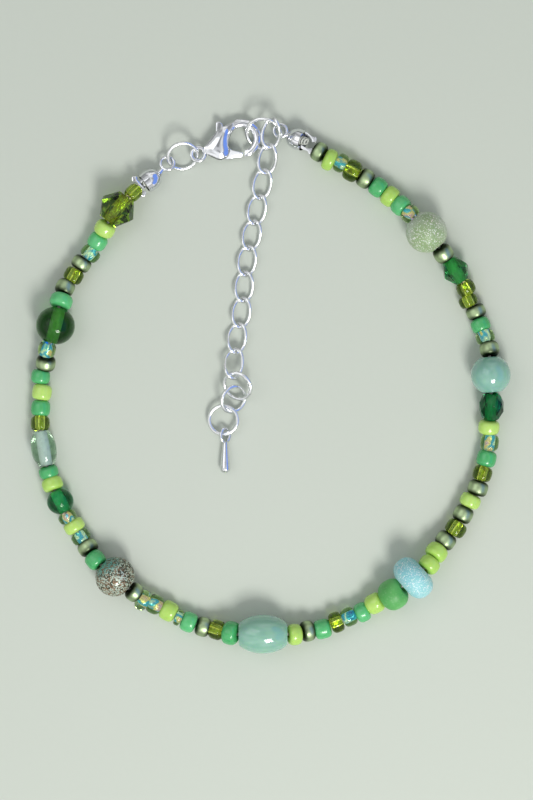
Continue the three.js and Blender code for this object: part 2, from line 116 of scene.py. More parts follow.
# Every bead in order along that line: kind, length along the thread, diameter, and how far it hangs
# to the left of the thread's line where its bore leaves it room to.
BEAD_CHART = [
    ("olive_glass", 2.2, 2.5), ("bicone_olive", 5.1, 5.9, -0.2), ("lime", 2.2, 3.3), ("jade", 2.35, 3.05),
    ("rainbow", 2.05, 3.1, 0.2), ("olive_metal", 2.2, 3.1), ("olive_glass", 2.3, 3.05),
    ("olive_metal", 2.3, 3.0, -0.3), ("jade", 2.1, 3.6), ("round_green", 5.8, 6.1, 0.2),
    ("rainbow", 2.1, 2.8, -0.2), ("olive_metal", 2.2, 3.1), ("jade", 2.25, 3.0, -0.5),
    ("lime", 2.55, 3.1), ("jade", 2.5, 3.05), ("olive_glass", 2.3, 3.0), ("oval_clear", 5.65, 4.0),
    ("jade", 1.9, 3.1), ("lime", 2.15, 3.35), ("round_dark_green", 3.85, 4.2),
    ("rainbow", 1.5, 2.9, -0.2), ("lime", 2.1, 3.35), ("rainbow", 1.9, 3.1), ("olive_metal", 2.1, 3.2),
    ("jade", 2.4, 3.1, -0.2), ("ball_glitter", 5.7, 6.25), ("olive_metal", 2.0, 3.0),
    ("rainbow", 1.65, 3.35, -0.3), ("rainbow", 2.25, 3.1), ("lime", 2.6, 3.2),
    ("rainbow", 1.1, 2.6, -0.3), ("jade", 2.4, 3.2, -0.3), ("olive_metal", 2.3, 3.1, -0.2),
    ("olive_glass", 2.2, 3.1), ("jade", 2.3, 3.75), ("barrel_turquoise", 7.8, 6.1),
    ("lime", 2.1, 3.35, -0.2), ("olive_metal", 2.05, 3.3), ("jade", 2.7, 3.1, -0.3),
    ("olive_glass", 2.1, 3.3), ("rainbow", 2.2, 3.0), ("jade", 2.2, 3.1, -0.3), ("lime", 2.6, 3.2),
    ("rondelle_matt_green", 3.8, 4.85, -0.2), ("rondelle_frosted_blue", 4.35, 7.0),
    ("lime", 2.15, 3.3, -0.3), ("lime", 2.25, 3.5), ("olive_metal", 2.5, 3.2),
    ("olive_glass", 2.4, 3.3, -0.2), ("olive_metal", 2.6, 3.1), ("lime", 2.2, 3.3),
    ("olive_metal", 2.4, 3.2, -0.3), ("olive_glass", 2.35, 3.05, -0.2), ("jade", 2.55, 3.1, -0.2),
    ("rainbow", 2.55, 2.9, -0.2), ("lime", 2.25, 3.35, 0.2), ("faceted_dark_green", 4.3, 4.05),
    ("round_turquoise", 5.7, 6.25), ("olive_metal", 2.25, 3.05, -0.2), ("rainbow", 1.8, 3.0),
    ("jade", 2.25, 3.05), ("olive_metal", 2.2, 3.1, -0.2), ("olive_glass", 1.9, 3.0, 0.2),
    ("olive_glass", 2.1, 3.0, -0.3), ("bicone_green", 4.2, 4.2, -0.2), ("olive_metal", 2.4, 3.1),
    ("round_frosted", 6.1, 6.4), ("rainbow", 1.7, 3.0), ("jade", 2.2, 3.2), ("lime", 2.3, 3.3),
    ("jade", 2.45, 3.1), ("olive_metal", 2.35, 3.1), ("olive_glass", 2.5, 3.5),
    ("rainbow", 1.75, 3.05, -0.2), ("lime", 1.95, 3.5, 0.2), ("olive_metal", 2.1, 3.1),
]

# The middle line of the extender chain, from the clasp end to the drop (x, y, height).
CHAIN_ROUTE = [
    (0.17, 39.24, 2.69), (-0.35, 35.56, 1.7), (-1.6, 29.6, 0.83), (-3.6, 19.5, 0.78),
    (-4.5, 11.3, 0.76), (-5.2, 7.2, 1.0), (-5.68, 3.27, 1.85),
]


# --- colours and shader maths ------------------------------------------------------------------


def srgb(red: int, green: int, blue: int) -> Color:
    """Turn an 8-bit display colour into the linear colour that shaders take."""

    def linear(value: float) -> float:
        """Return one channel, from 0 to 1, as linear light."""
        return value / 12.92 if value <= 0.04045 else ((value + 0.055) / 1.055) ** 2.4

    return tuple(linear(channel / 255) for channel in (red, green, blue))


class Signal:
    """A number in a shader, which Python's operators turn into Math nodes."""

    def __init__(self, graph: Graph, socket: bpy.types.NodeSocket) -> None:
        """Wrap one socket of a graph."""
        self.graph = graph
        self.socket = socket

    def _math(self, operation: str, left: Signal | float, right: Signal | float = 0.0) -> Signal:
        """Return a Math node's answer for two signals or numbers."""
        node = self.graph.add("ShaderNodeMath", {"operation": operation}, {0: left, 1: right})
        return Signal(self.graph, node.outputs[0])

    def __add__(self, other: Signal | float) -> Signal:
        """Return self + other."""
        return self._math("ADD", self, other)

    __radd__ = __add__

    def __sub__(self, other: Signal | float) -> Signal:
        """Return self - other."""
        return self._math("SUBTRACT", self, other)

    def __rsub__(self, other: Signal | float) -> Signal:
        """Return other - self."""
        return self._math("SUBTRACT", other, self)

    def __mul__(self, other: Signal | float) -> Signal:
        """Return self * other."""
        return self._math("MULTIPLY", self, other)

    def __abs__(self) -> Signal:
        """Return self without its sign."""
        return self._math("ABSOLUTE", self)

    def between(self, low: float, high: float) -> Signal:
        """Return 0 below low and 1 above high, with a smooth step between them.

        Args:
            low: where the step starts.
            high: where it ends.

        Returns:
            The stepped signal.
        """
        settings = {"interpolation_type": "SMOOTHSTEP"}
        inputs = {"Value": self, "From Min": low, "From Max": high}
        node = self.graph.add("ShaderNodeMapRange", settings, inputs)
        return Signal(self.graph, node.outputs["Result"])


class Graph:
    """A material's node tree, built by code."""

    def __init__(self, name: str) -> None:
        """Start an empty material.

        Args:
            name: the material's name.
        """
        self.material = bpy.data.materials.new(name)
        self.material.use_nodes = True
        self.material.node_tree.nodes.clear()
        self.tree = self.material.node_tree

    def add(self, kind: str, settings: dict | None = None, inputs: dict | None = None) -> bpy.types.Node:
        """Add any node.

        Args:
            kind: the node's type.
            settings: its own properties, set first; "stops" is a ramp's list of (place, colour).
            inputs: what each socket takes, by name or number: a signal, a socket or a value.

        Returns:
            The new node.
        """
        node = self.tree.nodes.new(kind)
        for key, value in (settings or {}).items():
            if key == "stops":
                self._set_stops(node.color_ramp, value)
            else:
                setattr(node, key, value)
        for key, value in (inputs or {}).items():
            socket = node.inputs[key]
            if isinstance(value, Signal):
                self.tree.links.new(value.socket, socket)
            elif isinstance(value, bpy.types.NodeSocket):
                self.tree.links.new(value, socket)
            elif isinstance(value, tuple) and len(value) == 3 and socket.type == "RGBA":
                socket.default_value = (*value, 1.0)
            else:
                socket.default_value = value
        return node

    @staticmethod
    def _set_stops(ramp: bpy.types.ColorRamp, stops: Sequence[tuple[float, Color]]) -> None:
        """Give a colour ramp its stops."""
        while len(ramp.elements) < len(stops):
            ramp.elements.new(0.5)
        for element, (place, color) in zip(ramp.elements, stops):
            element.position = place
            element.color = (*color, 1.0)

    def attribute(self, name: str) -> Signal:
        """Return a number stored on the mesh."""
        return Signal(self, self.add("ShaderNodeAttribute", {"attribute_name": name}).outputs["Fac"])

    def place(self) -> bpy.types.NodeSocket:
        """Return the point on the piece in metres."""
        return self.add("ShaderNodeTexCoord").outputs["Object"]

    def noise(self, size: float, detail: float = 2.0, roughness: float = 0.5) -> Signal:
        """Return soft noise whose blots are about size metres across."""
        inputs = {"Vector": self.place(), "Scale": 1 / size, "Detail": detail, "Roughness": roughness}
        return Signal(self, self.add("ShaderNodeTexNoise", None, inputs).outputs[0])

    def cells(self, size: float) -> bpy.types.Node:
        """Return a Voronoi node whose cells are about size metres across."""
        return self.add("ShaderNodeTexVoronoi", None, {"Vector": self.place(), "Scale": 1 / size})

    def ramp(self, signal: Signal, stops: Sequence[tuple[float, Color]]) -> bpy.types.NodeSocket:
        """Return a colour that follows a signal through a ramp."""
        return self.add("ShaderNodeValToRGB", {"stops": stops}, {"Fac": signal}).outputs["Color"]

    def mix(self, mask: Signal | float, low: object, high: object) -> bpy.types.NodeSocket:
        """Return the colour low where the mask is 0 and high where it is 1."""
        node = self.add("ShaderNodeMix", {"data_type": "RGBA"}, {0: mask, 6: low, 7: high})
        return node.outputs[2]

    def bump(self, height: Signal, depth: float, strength: float = 1.0) -> bpy.types.NodeSocket:
        """Return a normal bent by a height signal, depth metres high."""
        inputs = {"Height": height, "Distance": depth, "Strength": strength}
        return self.add("ShaderNodeBump", None, inputs).outputs["Normal"]

    def surface(self, inputs: dict) -> bpy.types.Material:
        """Finish the material with a Principled shader and return it.

        Args:
            inputs: what the shader's sockets take.

        Returns:
            The finished material.
        """
        shader = self.add("ShaderNodeBsdfPrincipled", None, inputs)
        self.add("ShaderNodeOutputMaterial", None, {"Surface": shader.outputs["BSDF"]})
        return self.material


# --- finishes ----------------------------------------------------------------------------------


@dataclass(frozen=True)
class OpaqueGlass:
    """Coloured glass that light enters only a little way, with a polished skin."""

    name: str
    tint: Color
    shade: Color
    roughness: float = 0.16
    depth: float = 0.35
    coat: float = 0.25

    def material(self) -> bpy.types.Material:
        """Build the finish: cloudy colour, and a tone that differs from bead to bead.

        Returns:
            The material.
        """
        graph = Graph(self.name)
        cloud = graph.noise(0.0016, 3.0)
        tone = graph.attribute("tone")
        mask = (cloud * 0.9 + tone * 0.6).between(0.25, 1.05)
        pits = graph.noise(0.00022, 2.0)
        return graph.surface({
            "Base Color": graph.mix(mask, self.tint, self.shade),
            "Roughness": pits * 0.1 + (self.roughness - 0.05),
            "Subsurface Weight": self.depth,
            "Subsurface Radius": (0.6, 1.0, 0.4),
            "Subsurface Scale": 0.0006,
            "Specular IOR Level": 0.55,
            "Coat Weight": self.coat,
            "Coat Roughness": 0.06,
            "Normal": graph.bump(pits, 0.000006),
        })


@dataclass(frozen=True)
class MetalGlass:
    """Glass with a fired metal skin, pale round the waist, with painted shade that darkens it towards the bore.
    """

    name: str
    waist: Color
    ends: Color
    roughness: float = 0.29

    def material(self) -> bpy.types.Material:
        """Build the finish: satin metal, mottled, with painted shade that darkens the ends towards the bore.

        Returns:
            The material.
        """
        graph = Graph(self.name)
        along = abs(graph.attribute("along"))
        mottle = graph.noise(0.0005, 4.0)
        tone = graph.attribute("tone")
        # painted shade: this mask gives each bead's ends by the bore the dark colour
        mask = (along + mottle * 0.22 + tone * 0.08).between(0.3, 1.05)
        grain = graph.noise(0.00012, 2.0)
        return graph.surface({
            "Base Color": graph.mix(mask, self.waist, self.ends),
            "Metallic": 1.0,
            "Roughness": mottle * 0.14 + (self.roughness - 0.07),
            "Coat Weight": 0.15,
            "Coat Roughness": 0.2,
            "Normal": graph.bump(grain, 0.000008),
        })


@dataclass(frozen=True)
class ClearGlass:
    """Glass that is seen through; a sheen under 1 makes it reflect less than real glass."""

    name: str
    tint: Color
    roughness: float = 0.02
    index: float = 1.52
    sheen: float = 0.45

    def material(self) -> bpy.types.Material:
        """Build the finish: tinted clear glass with a faint ripple.

        Returns:
            The material.
        """
        graph = Graph(self.name)
        ripple = graph.noise(0.0012, 2.0)
        streak = graph.noise(0.0006, 2.0)
        dim = tuple(channel * 0.8 for channel in self.tint)
        return graph.surface({
            "Base Color": graph.mix(streak.between(0.45, 0.75), self.tint, dim),
            "Roughness": self.roughness,
            "IOR": self.index,
            "Transmission Weight": 1.0,
            "Specular Tint": (self.sheen,) * 3,
            "Normal": graph.bump(ripple, 0.00001),
        })


@dataclass(frozen=True)
class Lining:
    """The bright foil or fired rainbow inside a clear bead's bore, lifted by painted light: it emits its own
    colour though it is no lamp.
    """

    name: str
    stops: tuple[tuple[float, Color], ...]
    patch: float = 0.0006
    metallic: float = 0.75
    roughness: float = 0.22
    painted_glow: float = 0.0

    def material(self) -> bpy.types.Material:
        """Build the finish: patches of colour that change from bead to bead, streaked along the bore, and
        emitted again as painted light.

        Returns:
            The material.
        """
        graph = Graph(self.name)
        patches = graph.noise(self.patch, 1.0)
        tone = graph.attribute("tone")
        streak = graph.noise(0.00016, 2.0)
        color = graph.ramp(patches * 1.5 + tone * 0.5 - 0.5, self.stops)
        return graph.surface({
            "Base Color": color,
            # painted light: the lining emits its own colour to brighten its glints
            "Emission Color": color,
            "Emission Strength": self.painted_glow,
            "Metallic": self.metallic,
            "Roughness": streak * 0.3 + (self.roughness - 0.15),
            "Normal": graph.bump(streak, 0.00003),
        })


@dataclass(frozen=True)
class FrostedGlass:
    """Etched glass, soft all over, with painted glints: fine bright flecks put into its colour where the frost
    would catch light.
    """

    name: str
    tint: Color
    far_tint: Color
    glint_tint: Color = (1.0, 1.0, 1.0)
    glint_share: float = 0.5
    roughness: float = 0.5
    depth: float = 0.5
    grain: float = 0.0004

    def material(self) -> bpy.types.Material:
        """Build the finish: two tints that drift across the bead, frost bumps, and painted glints.

        Returns:
            The material.
        """
        graph = Graph(self.name)
        drift = graph.noise(0.004, 1.0)
        grains = graph.cells(self.grain)
        # painted glints: bright flecks mixed into the colour, standing in for the frost catching light
        near = 1 - Signal(graph, grains.outputs["Distance"]).between(0.2, 0.48)
        lucky = graph.noise(self.grain * 1.6, 1.0).between(0.34, 0.56)
        painted_glint = near * lucky * self.glint_share
        frost = graph.noise(0.00012, 3.0)
        body = graph.mix(drift.between(0.35, 0.65), self.tint, self.far_tint)
        return graph.surface({
            "Base Color": graph.mix(painted_glint, body, self.glint_tint),
            "Roughness": self.roughness - painted_glint * 0.3,
            "Subsurface Weight": self.depth,
            "Subsurface Radius": (0.7, 1.0, 0.8),
            "Subsurface Scale": 0.001,
            "Normal": graph.bump(frost, 0.00003),
        })


@dataclass(frozen=True)
class GlitterGlass:
    """A glass ball rolled in bronze and silver glitter, with one bare bluish side."""

    name: str
    bronze: Color
    silver: Color
    dark: Color
    bare: Color
    bare_at: Vector
    bronze_at: Vector
    bare_reach: float

    @staticmethod
    def _distance(graph: Graph, spot: Vector) -> Signal:
        """Return how far each point of the piece is from a spot."""
        node = graph.add("ShaderNodeVectorMath", {"operation": "DISTANCE"}, {0: graph.place(), 1: spot})
        return Signal(graph, node.outputs["Value"])

    def material(self) -> bpy.types.Material:
        """Build the finish: flakes in three colours, each lying at its own angle.

        Returns:
            The material.
        """
        graph = Graph(self.name)
        flakes = graph.cells(0.00018)
        pick = graph.add("ShaderNodeSeparateColor", None, {0: flakes.outputs["Color"]})
        first = Signal(graph, pick.outputs[0])
        second = Signal(graph, pick.outputs[1])
        zone = graph.noise(0.0022, 2.0)
        from_bronze = self._distance(graph, self.bronze_at)
        silvered = (first + from_bronze * 40 + zone * 0.3).between(0.64, 0.78)
        flake = graph.mix(silvered, self.bronze, self.silver)
        flake = graph.mix((second + from_bronze * 60).between(0.78, 0.88), flake, self.dark)
        away = self._distance(graph, self.bare_at) + zone * 0.002
        bare = (1 - away.between(self.bare_reach * 0.6, self.bare_reach * 1.3)) * first.between(0.25, 0.6)
        return graph.surface({
            "Base Color": graph.mix(bare, flake, self.bare),
            "Metallic": 0.3,
            "Roughness": second * 0.3 + 0.3,
            "Normal": graph.bump(first + second * 0.5, 0.00006),
        })


@dataclass(frozen=True)
class Plate:
    """Bright silver plate over brass."""

    name: str
    tint: Color
    roughness: float = 0.1

    def material(self) -> bpy.types.Material:
        """Build the finish: polished, with faint tumbling marks and a little tarnish.

        Returns:
            The material.
        """
        graph = Graph(self.name)
        wear = graph.noise(0.0012, 4.0)
        marks = graph.noise(0.00025, 3.0)
        dull = tuple(channel * 0.82 for channel in self.tint)
        return graph.surface({
            "Base Color": graph.mix(wear.between(0.5, 0.8), self.tint, dull),
            "Metallic": 1.0,
            "Roughness": wear * 0.1 + (self.roughness - 0.05),
            "Normal": graph.bump(marks, 0.000004),
        })


@dataclass(frozen=True)
class Nylon:
    """Nylon thread, whitened by its bends."""

    name: str
    tint: Color

    def material(self) -> bpy.types.Material:
        """Build the finish: a glossy opaque line with a slight twist in its colour.

        Returns:
            The material.
        """
        graph = Graph(self.name)
        twist = graph.noise(0.0004, 2.0)
        dim = tuple(channel * 0.6 for channel in self.tint)
        return graph.surface({
            "Base Color": graph.mix(twist, self.tint, dim),
            "Roughness": 0.25,
            "IOR": 1.5,
        })


@dataclass(frozen=True)
class Paper:
    """The pale sweep that the anklet lies on."""

    name: str
    tint: Color

    def material(self) -> bpy.types.Material:
        """Build the finish: matt and even, with the faintest tooth.

        Returns:
            The material.
        """
        graph = Graph(self.name)
        tooth = graph.noise(0.0009, 3.0)
        dim = tuple(channel * 0.985 for channel in self.tint)
        return graph.surface({
            "Base Color": graph.mix(tooth, self.tint, dim),
            "Roughness": 0.9,
            "Specular IOR Level": 0.1,
            "Normal": graph.bump(tooth, 0.00001),
        })


FOIL = (
    (0.0, srgb(150, 140, 60)), (0.35, srgb(235, 228, 170)),
    (0.6, srgb(250, 250, 225)), (1.0, srgb(190, 180, 90)),
)
GOLD_FOIL = (
    (0.0, srgb(140, 125, 30)), (0.4, srgb(225, 205, 90)),
    (0.7, srgb(250, 245, 190)), (1.0, srgb(170, 150, 40)),
)
AURORA = (
    (0.0, srgb(40, 100, 220)), (0.22, srgb(60, 180, 250)), (0.34, srgb(242, 246, 255)),
    (0.44, srgb(100, 175, 255)), (0.56, srgb(50, 165, 245)), (0.66, srgb(245, 212, 160)),
    (0.78, srgb(232, 176, 232)), (0.88, srgb(80, 160, 255)), (1.0, srgb(248, 248, 255)),
)
FINISHES = {
    Bead.LIME: OpaqueGlass("lime_glass", srgb(192, 228, 118), srgb(174, 216, 98), 0.2, 0.25),
    Bead.JADE: OpaqueGlass("jade_glass", srgb(97, 197, 127), srgb(71, 175, 104), 0.24, 0.3),
    # the olive metal finish's second colour is painted shade for the ends by the bore
    Bead.OLIVE_METAL: MetalGlass("olive_metal_glass", srgb(170, 190, 146), srgb(36, 48, 28), 0.38),
    Bead.OLIVE_GLASS: ClearGlass("olive_glass", srgb(154, 180, 62)),
    Bead.RAINBOW: ClearGlass("rainbow_glass", srgb(176, 212, 132), sheen=0.7),
    Bead.BICONE_OLIVE: ClearGlass("olive_crystal", srgb(113, 152, 36)),
    Bead.ROUND_GREEN: ClearGlass("bottle_green_glass", srgb(74, 148, 60), 0.05),
    Bead.OVAL_CLEAR: ClearGlass("mint_glass", srgb(208, 238, 210), sheen=1.0),
    Bead.ROUND_DARK_GREEN: ClearGlass("emerald_glass", srgb(46, 178, 120), 0.06),
    Bead.BARREL_TURQUOISE: OpaqueGlass(
        "milky_turquoise", srgb(148, 196, 168), srgb(136, 186, 168), 0.12, 0.6, 0.9
    ),
    # The frosted finishes mix painted glints, bright flecks standing in for caught light, into their colour.
    Bead.RONDELLE_MATT_GREEN: FrostedGlass(
        "matt_green_glass", srgb(106, 188, 106), srgb(84, 166, 86), glint_share=0.05, roughness=0.42, depth=0.3
    ),
    Bead.RONDELLE_FROSTED_BLUE: FrostedGlass(
        "frosted_blue_glass", srgb(156, 214, 220), srgb(142, 206, 216),
        glint_share=0.9, roughness=0.5, grain=0.00023,
    ),
    Bead.FACETED_DARK_GREEN: ClearGlass("cut_emerald_glass", srgb(4, 130, 78), 0.02),
    Bead.ROUND_TURQUOISE: OpaqueGlass(
        "milky_turquoise_round", srgb(140, 190, 172), srgb(130, 182, 170), 0.12, 0.6, 0.9
    ),
    Bead.BICONE_GREEN: ClearGlass("satin_green_glass", srgb(62, 178, 98), 0.1),
    Bead.ROUND_FROSTED: FrostedGlass(
        "frosted_green_glass", srgb(150, 174, 130), srgb(184, 196, 176),
        glint_share=0.9, roughness=0.4, depth=0.6, grain=0.00023,
    ),
}


# --- the workbench -----------------------------------------------------------------------------


def matrix_between(start: Vector, end: Vector, roll: float = 0.0) -> Matrix:
    """Return the matrix that stands +Z from start towards end, at the middle of the two, in their units."""
    turn = Vector((0, 0, 1)).rotation_difference(end - start).to_matrix().to_4x4()
    return Matrix.Translation((start + end) / 2) @ turn @ Matrix.Rotation(roll, 4, "Z")


def ring_matrix(x: float, y: float, z: float, tilt: float, high: float) -> Matrix:
    """Return where a tilted ring sits: tipped so that its side towards the heading high is raised.

    Args:
        x: the ring's centre.
        y: the ring's centre.
        z: the height of the ring's centre.
        tilt: how far it is tipped, in degrees.
        high: the heading of its raised side, in degrees.

    Returns:
        The ring's matrix.
    """
    heading = math.radians(high)
    axis = Vector((math.sin(heading), -math.cos(heading), 0))
    return Matrix.Translation((x, y, z)) @ Matrix.Rotation(math.radians(tilt), 4, axis)


def oval(across: float, long: float, height: float = 0.0) -> Callable[[float], Vector]:
    """Return the middle line of an oval ring about Z as a function of the angle, from its two radii."""
    return lambda angle: Vector((across * math.cos(angle), long * math.sin(angle), height))


def spin(profile: Outline, sides: int, closed: bool = True) -> bmesh.types.BMesh:
    """Spin an outline of (radius, height) about Z.

    Args:
        profile: the outline's points in order.
        sides: how many steps the full turn takes.
        closed: whether the last point joins the first.

    Returns:
        The shape, its faces outwards, with an "along" number from -1 to 1 on each vertex.
    """
    shape = bmesh.new()
    along = shape.verts.layers.float.new("along")
    reach = max(abs(height) for _, height in profile) or 1.0
    verts = [shape.verts.new((radius, 0, height)) for radius, height in profile]
    for vert, (_, height) in zip(verts, profile):
        vert[along] = height / reach
    edges = [shape.edges.new(pair) for pair in zip(verts, verts[1:])]
    if closed:
        edges.append(shape.edges.new((verts[-1], verts[0])))
    bmesh.ops.spin(
        shape, geom=verts + edges, cent=(0, 0, 0), axis=(0, 0, 1),
        angle=math.tau, steps=sides, use_merge=True,
    )
    bmesh.ops.remove_doubles(shape, verts=shape.verts, dist=1e-6)
    bmesh.ops.recalc_face_normals(shape, faces=shape.faces)
    return shape


def sweep(
    path: Callable[[float], Vector], wire: float, steps: int, sides: int, turn: float = math.tau
) -> bmesh.types.BMesh:
    """Sweep round wire along a path that goes round Z.

    Args:
        path: gives the wire's middle at an angle.
        wire: the wire's diameter.
        steps: how many lengths the path is cut into.
        sides: how many sides the wire has.
        turn: how far round the path goes; less than a full turn leaves the ring's ends apart.

    Returns:
        The ring, its faces outwards.
    """
    shape = bmesh.new()
    whole = turn >= math.tau - 1e-6
    bmesh.ops.create_circle(shape, cap_ends=not whole, segments=sides, radius=wire / 2)
    start = [vert.co.copy() for vert in shape.verts]
    edges = list(shape.edges)
    bands = [list(shape.verts)]
    for _ in range(steps - 1 if whole else steps):
        grown = bmesh.ops.extrude_edge_only(shape, edges=edges)["geom"]
        edges = [part for part in grown if isinstance(part, bmesh.types.BMEdge) and part.is_boundary]
        bands.append([part for part in grown if isinstance(part, bmesh.types.BMVert)])
    for i, band in enumerate(bands):
        angle = turn * i / steps
        ahead = (path(angle + 0.01) - path(angle - 0.01)).normalized()
        side = ahead.cross(Vector((0, 0, 1))).normalized()
        up = side.cross(ahead)
        for vert, place in zip(band, start):
            vert.co = path(angle) + side * place.x + up * place.y
    if whole:
        first = [edge for edge in shape.edges if edge.is_boundary]
        bmesh.ops.bridge_loops(shape, edges=first)
    else:
        bmesh.ops.holes_fill(shape, edges=[edge for edge in shape.edges if edge.is_boundary])
    bmesh.ops.recalc_face_normals(shape, faces=shape.faces)
    return shape


def join(parts: Sequence[bmesh.types.BMesh]) -> bmesh.types.BMesh:
    """Gather several shapes in the first of them, and free the others.

    Args:
        parts: the shapes, of which the first is kept.

    Returns:
        The first shape, with all of them in it.
    """
    whole, *rest = parts
    for part in rest:
        carried = bpy.data.meshes.new("carried")
        part.to_mesh(carried)
        whole.from_mesh(carried)
        part.free()
        bpy.data.meshes.remove(carried)
    return whole


def moved(shape: bmesh.types.BMesh, matrix: Matrix) -> bmesh.types.BMesh:
    """Move a shape by a matrix and return it."""
    bmesh.ops.transform(shape, matrix=matrix, verts=shape.verts)
    return shape


def painted(shape: bmesh.types.BMesh, tone: float, slot: int) -> bmesh.types.BMesh:
    """Give a shape one tone, from 0 to 1, and one material slot, and return it.

    Args:
        shape: the shape.
        tone: what the finish varies with from bead to bead.
        slot: the number of the material that its faces take.

    Returns:
        The same shape.
    """
    layer = shape.verts.layers.float.get("tone") or shape.verts.layers.float.new("tone")
    for vert in shape.verts:
        vert[layer] = tone
    for face in shape.faces:
        face.material_index = slot
    return shape


@dataclass
class Bench:
    """Makes finished pieces of shapes: in metres, smooth, dressed, and riding on their body."""

    made: int = 0

    def piece(
        self,
        name: str,
        shape: bmesh.types.BMesh,
        materials: Sequence[bpy.types.Material],
        slot: str,
        node: str,
        body: str = ANKLET,
        sharp: float = 40.0,
    ) -> bpy.types.Object:
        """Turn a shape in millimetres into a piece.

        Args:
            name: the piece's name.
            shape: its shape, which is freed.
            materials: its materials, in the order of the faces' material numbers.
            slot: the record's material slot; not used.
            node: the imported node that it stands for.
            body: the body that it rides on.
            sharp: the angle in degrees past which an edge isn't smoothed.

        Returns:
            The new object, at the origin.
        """
        bmesh.ops.scale(shape, vec=(MM, MM, MM), verts=shape.verts)
        for face in shape.faces:
            face.smooth = True
        for edge in shape.edges:
            edge.smooth = not edge.is_manifold or edge.calc_face_angle(0.0) < math.radians(sharp)
        mesh = bpy.data.meshes.new(name)
        shape.to_mesh(mesh)
        shape.free()
        for material in materials:
            mesh.materials.append(material)
        piece = bpy.data.objects.new(name, mesh)
        bpy.context.scene.collection.objects.link(piece)
        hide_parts(node)
        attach(piece, body)
        self.made += 1
        LOG.info("%s: %d faces on %s", name, len(mesh.polygons), body)
        return piece


# --- the strand --------------------------------------------------------------------------------


class Route:
    """A smooth line through points, walked by the length along it."""

    def __init__(self, points: Sequence[Sequence[float]], divisions: int) -> None:
        """Lay the line and measure it in a number of short steps.

        Args:
            points: the points that the line goes through, flat or with a height.
            divisions: how many steps the line is measured in.
        """
        self.points = [Vector((*point, 0.0)) if len(point) == 2 else Vector(point) for point in points]
        steps = [self.at(i / divisions) for i in range(divisions + 1)]
        self.lengths = list(accumulate(((b - a).length for a, b in zip(steps, steps[1:])), initial=0.0))

    def at(self, t: float) -> Vector:
        """Return the point at a share t of the spans, on a centripetal Catmull-Rom curve.

        Args:
            t: the share, from 0 to 1.

        Returns:
            The point.
        """
        last = len(self.points) - 1
        reach = min(max(t, 0.0), 1.0) * last
        span = min(int(reach), last - 1)
        weight = reach - span
        middle = self.points[span], self.points[span + 1]
        before = self.points[span - 1] if span > 0 else 2 * self.points[0] - self.points[1]
        after = self.points[span + 2] if span + 2 <= last else 2 * self.points[-1] - self.points[-2]
        knots = (before, *middle, after)
        gaps = [max((b - a).length, 1e-6) ** 0.5 for a, b in zip(knots, knots[1:])]
        slopes = [self._slope(knots[i : i + 3], gaps[i : i + 2]) * gaps[1] for i in (0, 1)]
        cubic = 2 * middle[0] - 2 * middle[1] + slopes[0] + slopes[1]
        square = 3 * middle[1] - 3 * middle[0] - 2 * slopes[0] - slopes[1]
        return middle[0] + slopes[0] * weight + square * weight**2 + cubic * weight**3

    @staticmethod
    def _slope(knots: Sequence[Vector], gaps: Sequence[float]) -> Vector:
        """Return the curve's slope at the middle one of three knots."""
        before, here, after = knots
        return (here - before) / gaps[0] - (after - before) / (gaps[0] + gaps[1]) + (after - here) / gaps[1]

    def walk(self, share: float) -> Vector:
        """Return the point at a share of the whole length.

        Args:
            share: the share, from 0 to 1.

        Returns:
            The point.
        """
        target = min(max(share, 0.0), 1.0) * self.lengths[-1]
        low, high = 0, len(self.lengths) - 1
        while high - low > 1:
            middle = (low + high) // 2
            low, high = (middle, high) if self.lengths[middle] <= target else (low, middle)
        part = (target - self.lengths[low]) / max(self.lengths[high] - self.lengths[low], 1e-9)
        return self.at((low + part) / (len(self.lengths) - 1))


@dataclass
class Laid:
    """One bead in its place on the thread, in millimetres."""

    kind: Bead
    long: float
    wide: float
    aside: float
    start: float = 0.0
    here: Vector = None
    there: Vector = None

    @property
    def large(self) -> bool:
        """Whether this is a bead with a node of its own."""
        return self.kind in LARGE

    @property
    def heading(self) -> Vector:
        """The way the thread runs through the bead."""
        return (self.there - self.here).normalized()

    def ends(self) -> tuple[Vector, Vector]:
        """Return the bead's two ends, moved aside from the thread's line."""
        left = Vector((self.here.y - self.there.y, self.there.x - self.here.x, 0)).normalized() * self.aside
        return self.here + left, self.there + left


class Form(Enum):
    """How a large bead is shaped between its flat ends."""

    ROUND = "round"
    PILLOW = "pillow"
    BICONE = "bicone"
    CUT = "cut"
    OVAL = "oval"


# Large beads: form, diameter of the flat ends, and the record's material slot.
LARGE = {
    Bead.BICONE_OLIVE: (Form.BICONE, 3.0, "olive_glass"),
    Bead.ROUND_GREEN: (Form.ROUND, 2.0, "green_glass"),
    Bead.OVAL_CLEAR: (Form.OVAL, 2.4, "clear_glass"),
    Bead.ROUND_DARK_GREEN: (Form.ROUND, 1.7, "dark_green_glass"),
    Bead.BALL_GLITTER: (Form.ROUND, 2.5, "glitter_glass"),
    Bead.BARREL_TURQUOISE: (Form.ROUND, 3.4, "turquoise_glass"),
    Bead.RONDELLE_MATT_GREEN: (Form.PILLOW, 2.9, "matt_green_glass"),
    Bead.RONDELLE_FROSTED_BLUE: (Form.PILLOW, 3.8, "frosted_blue_glass"),
    Bead.FACETED_DARK_GREEN: (Form.CUT, 2.1, "dark_green_glass"),
    Bead.ROUND_TURQUOISE: (Form.ROUND, 2.9, "turquoise_glass"),
    Bead.BICONE_GREEN: (Form.BICONE, 2.2, "green_facet_glass"),
    Bead.ROUND_FROSTED: (Form.ROUND, 2.5, "frosted_green_glass"),
}
SHINY_CORE = {Bead.OLIVE_GLASS, Bead.RAINBOW}


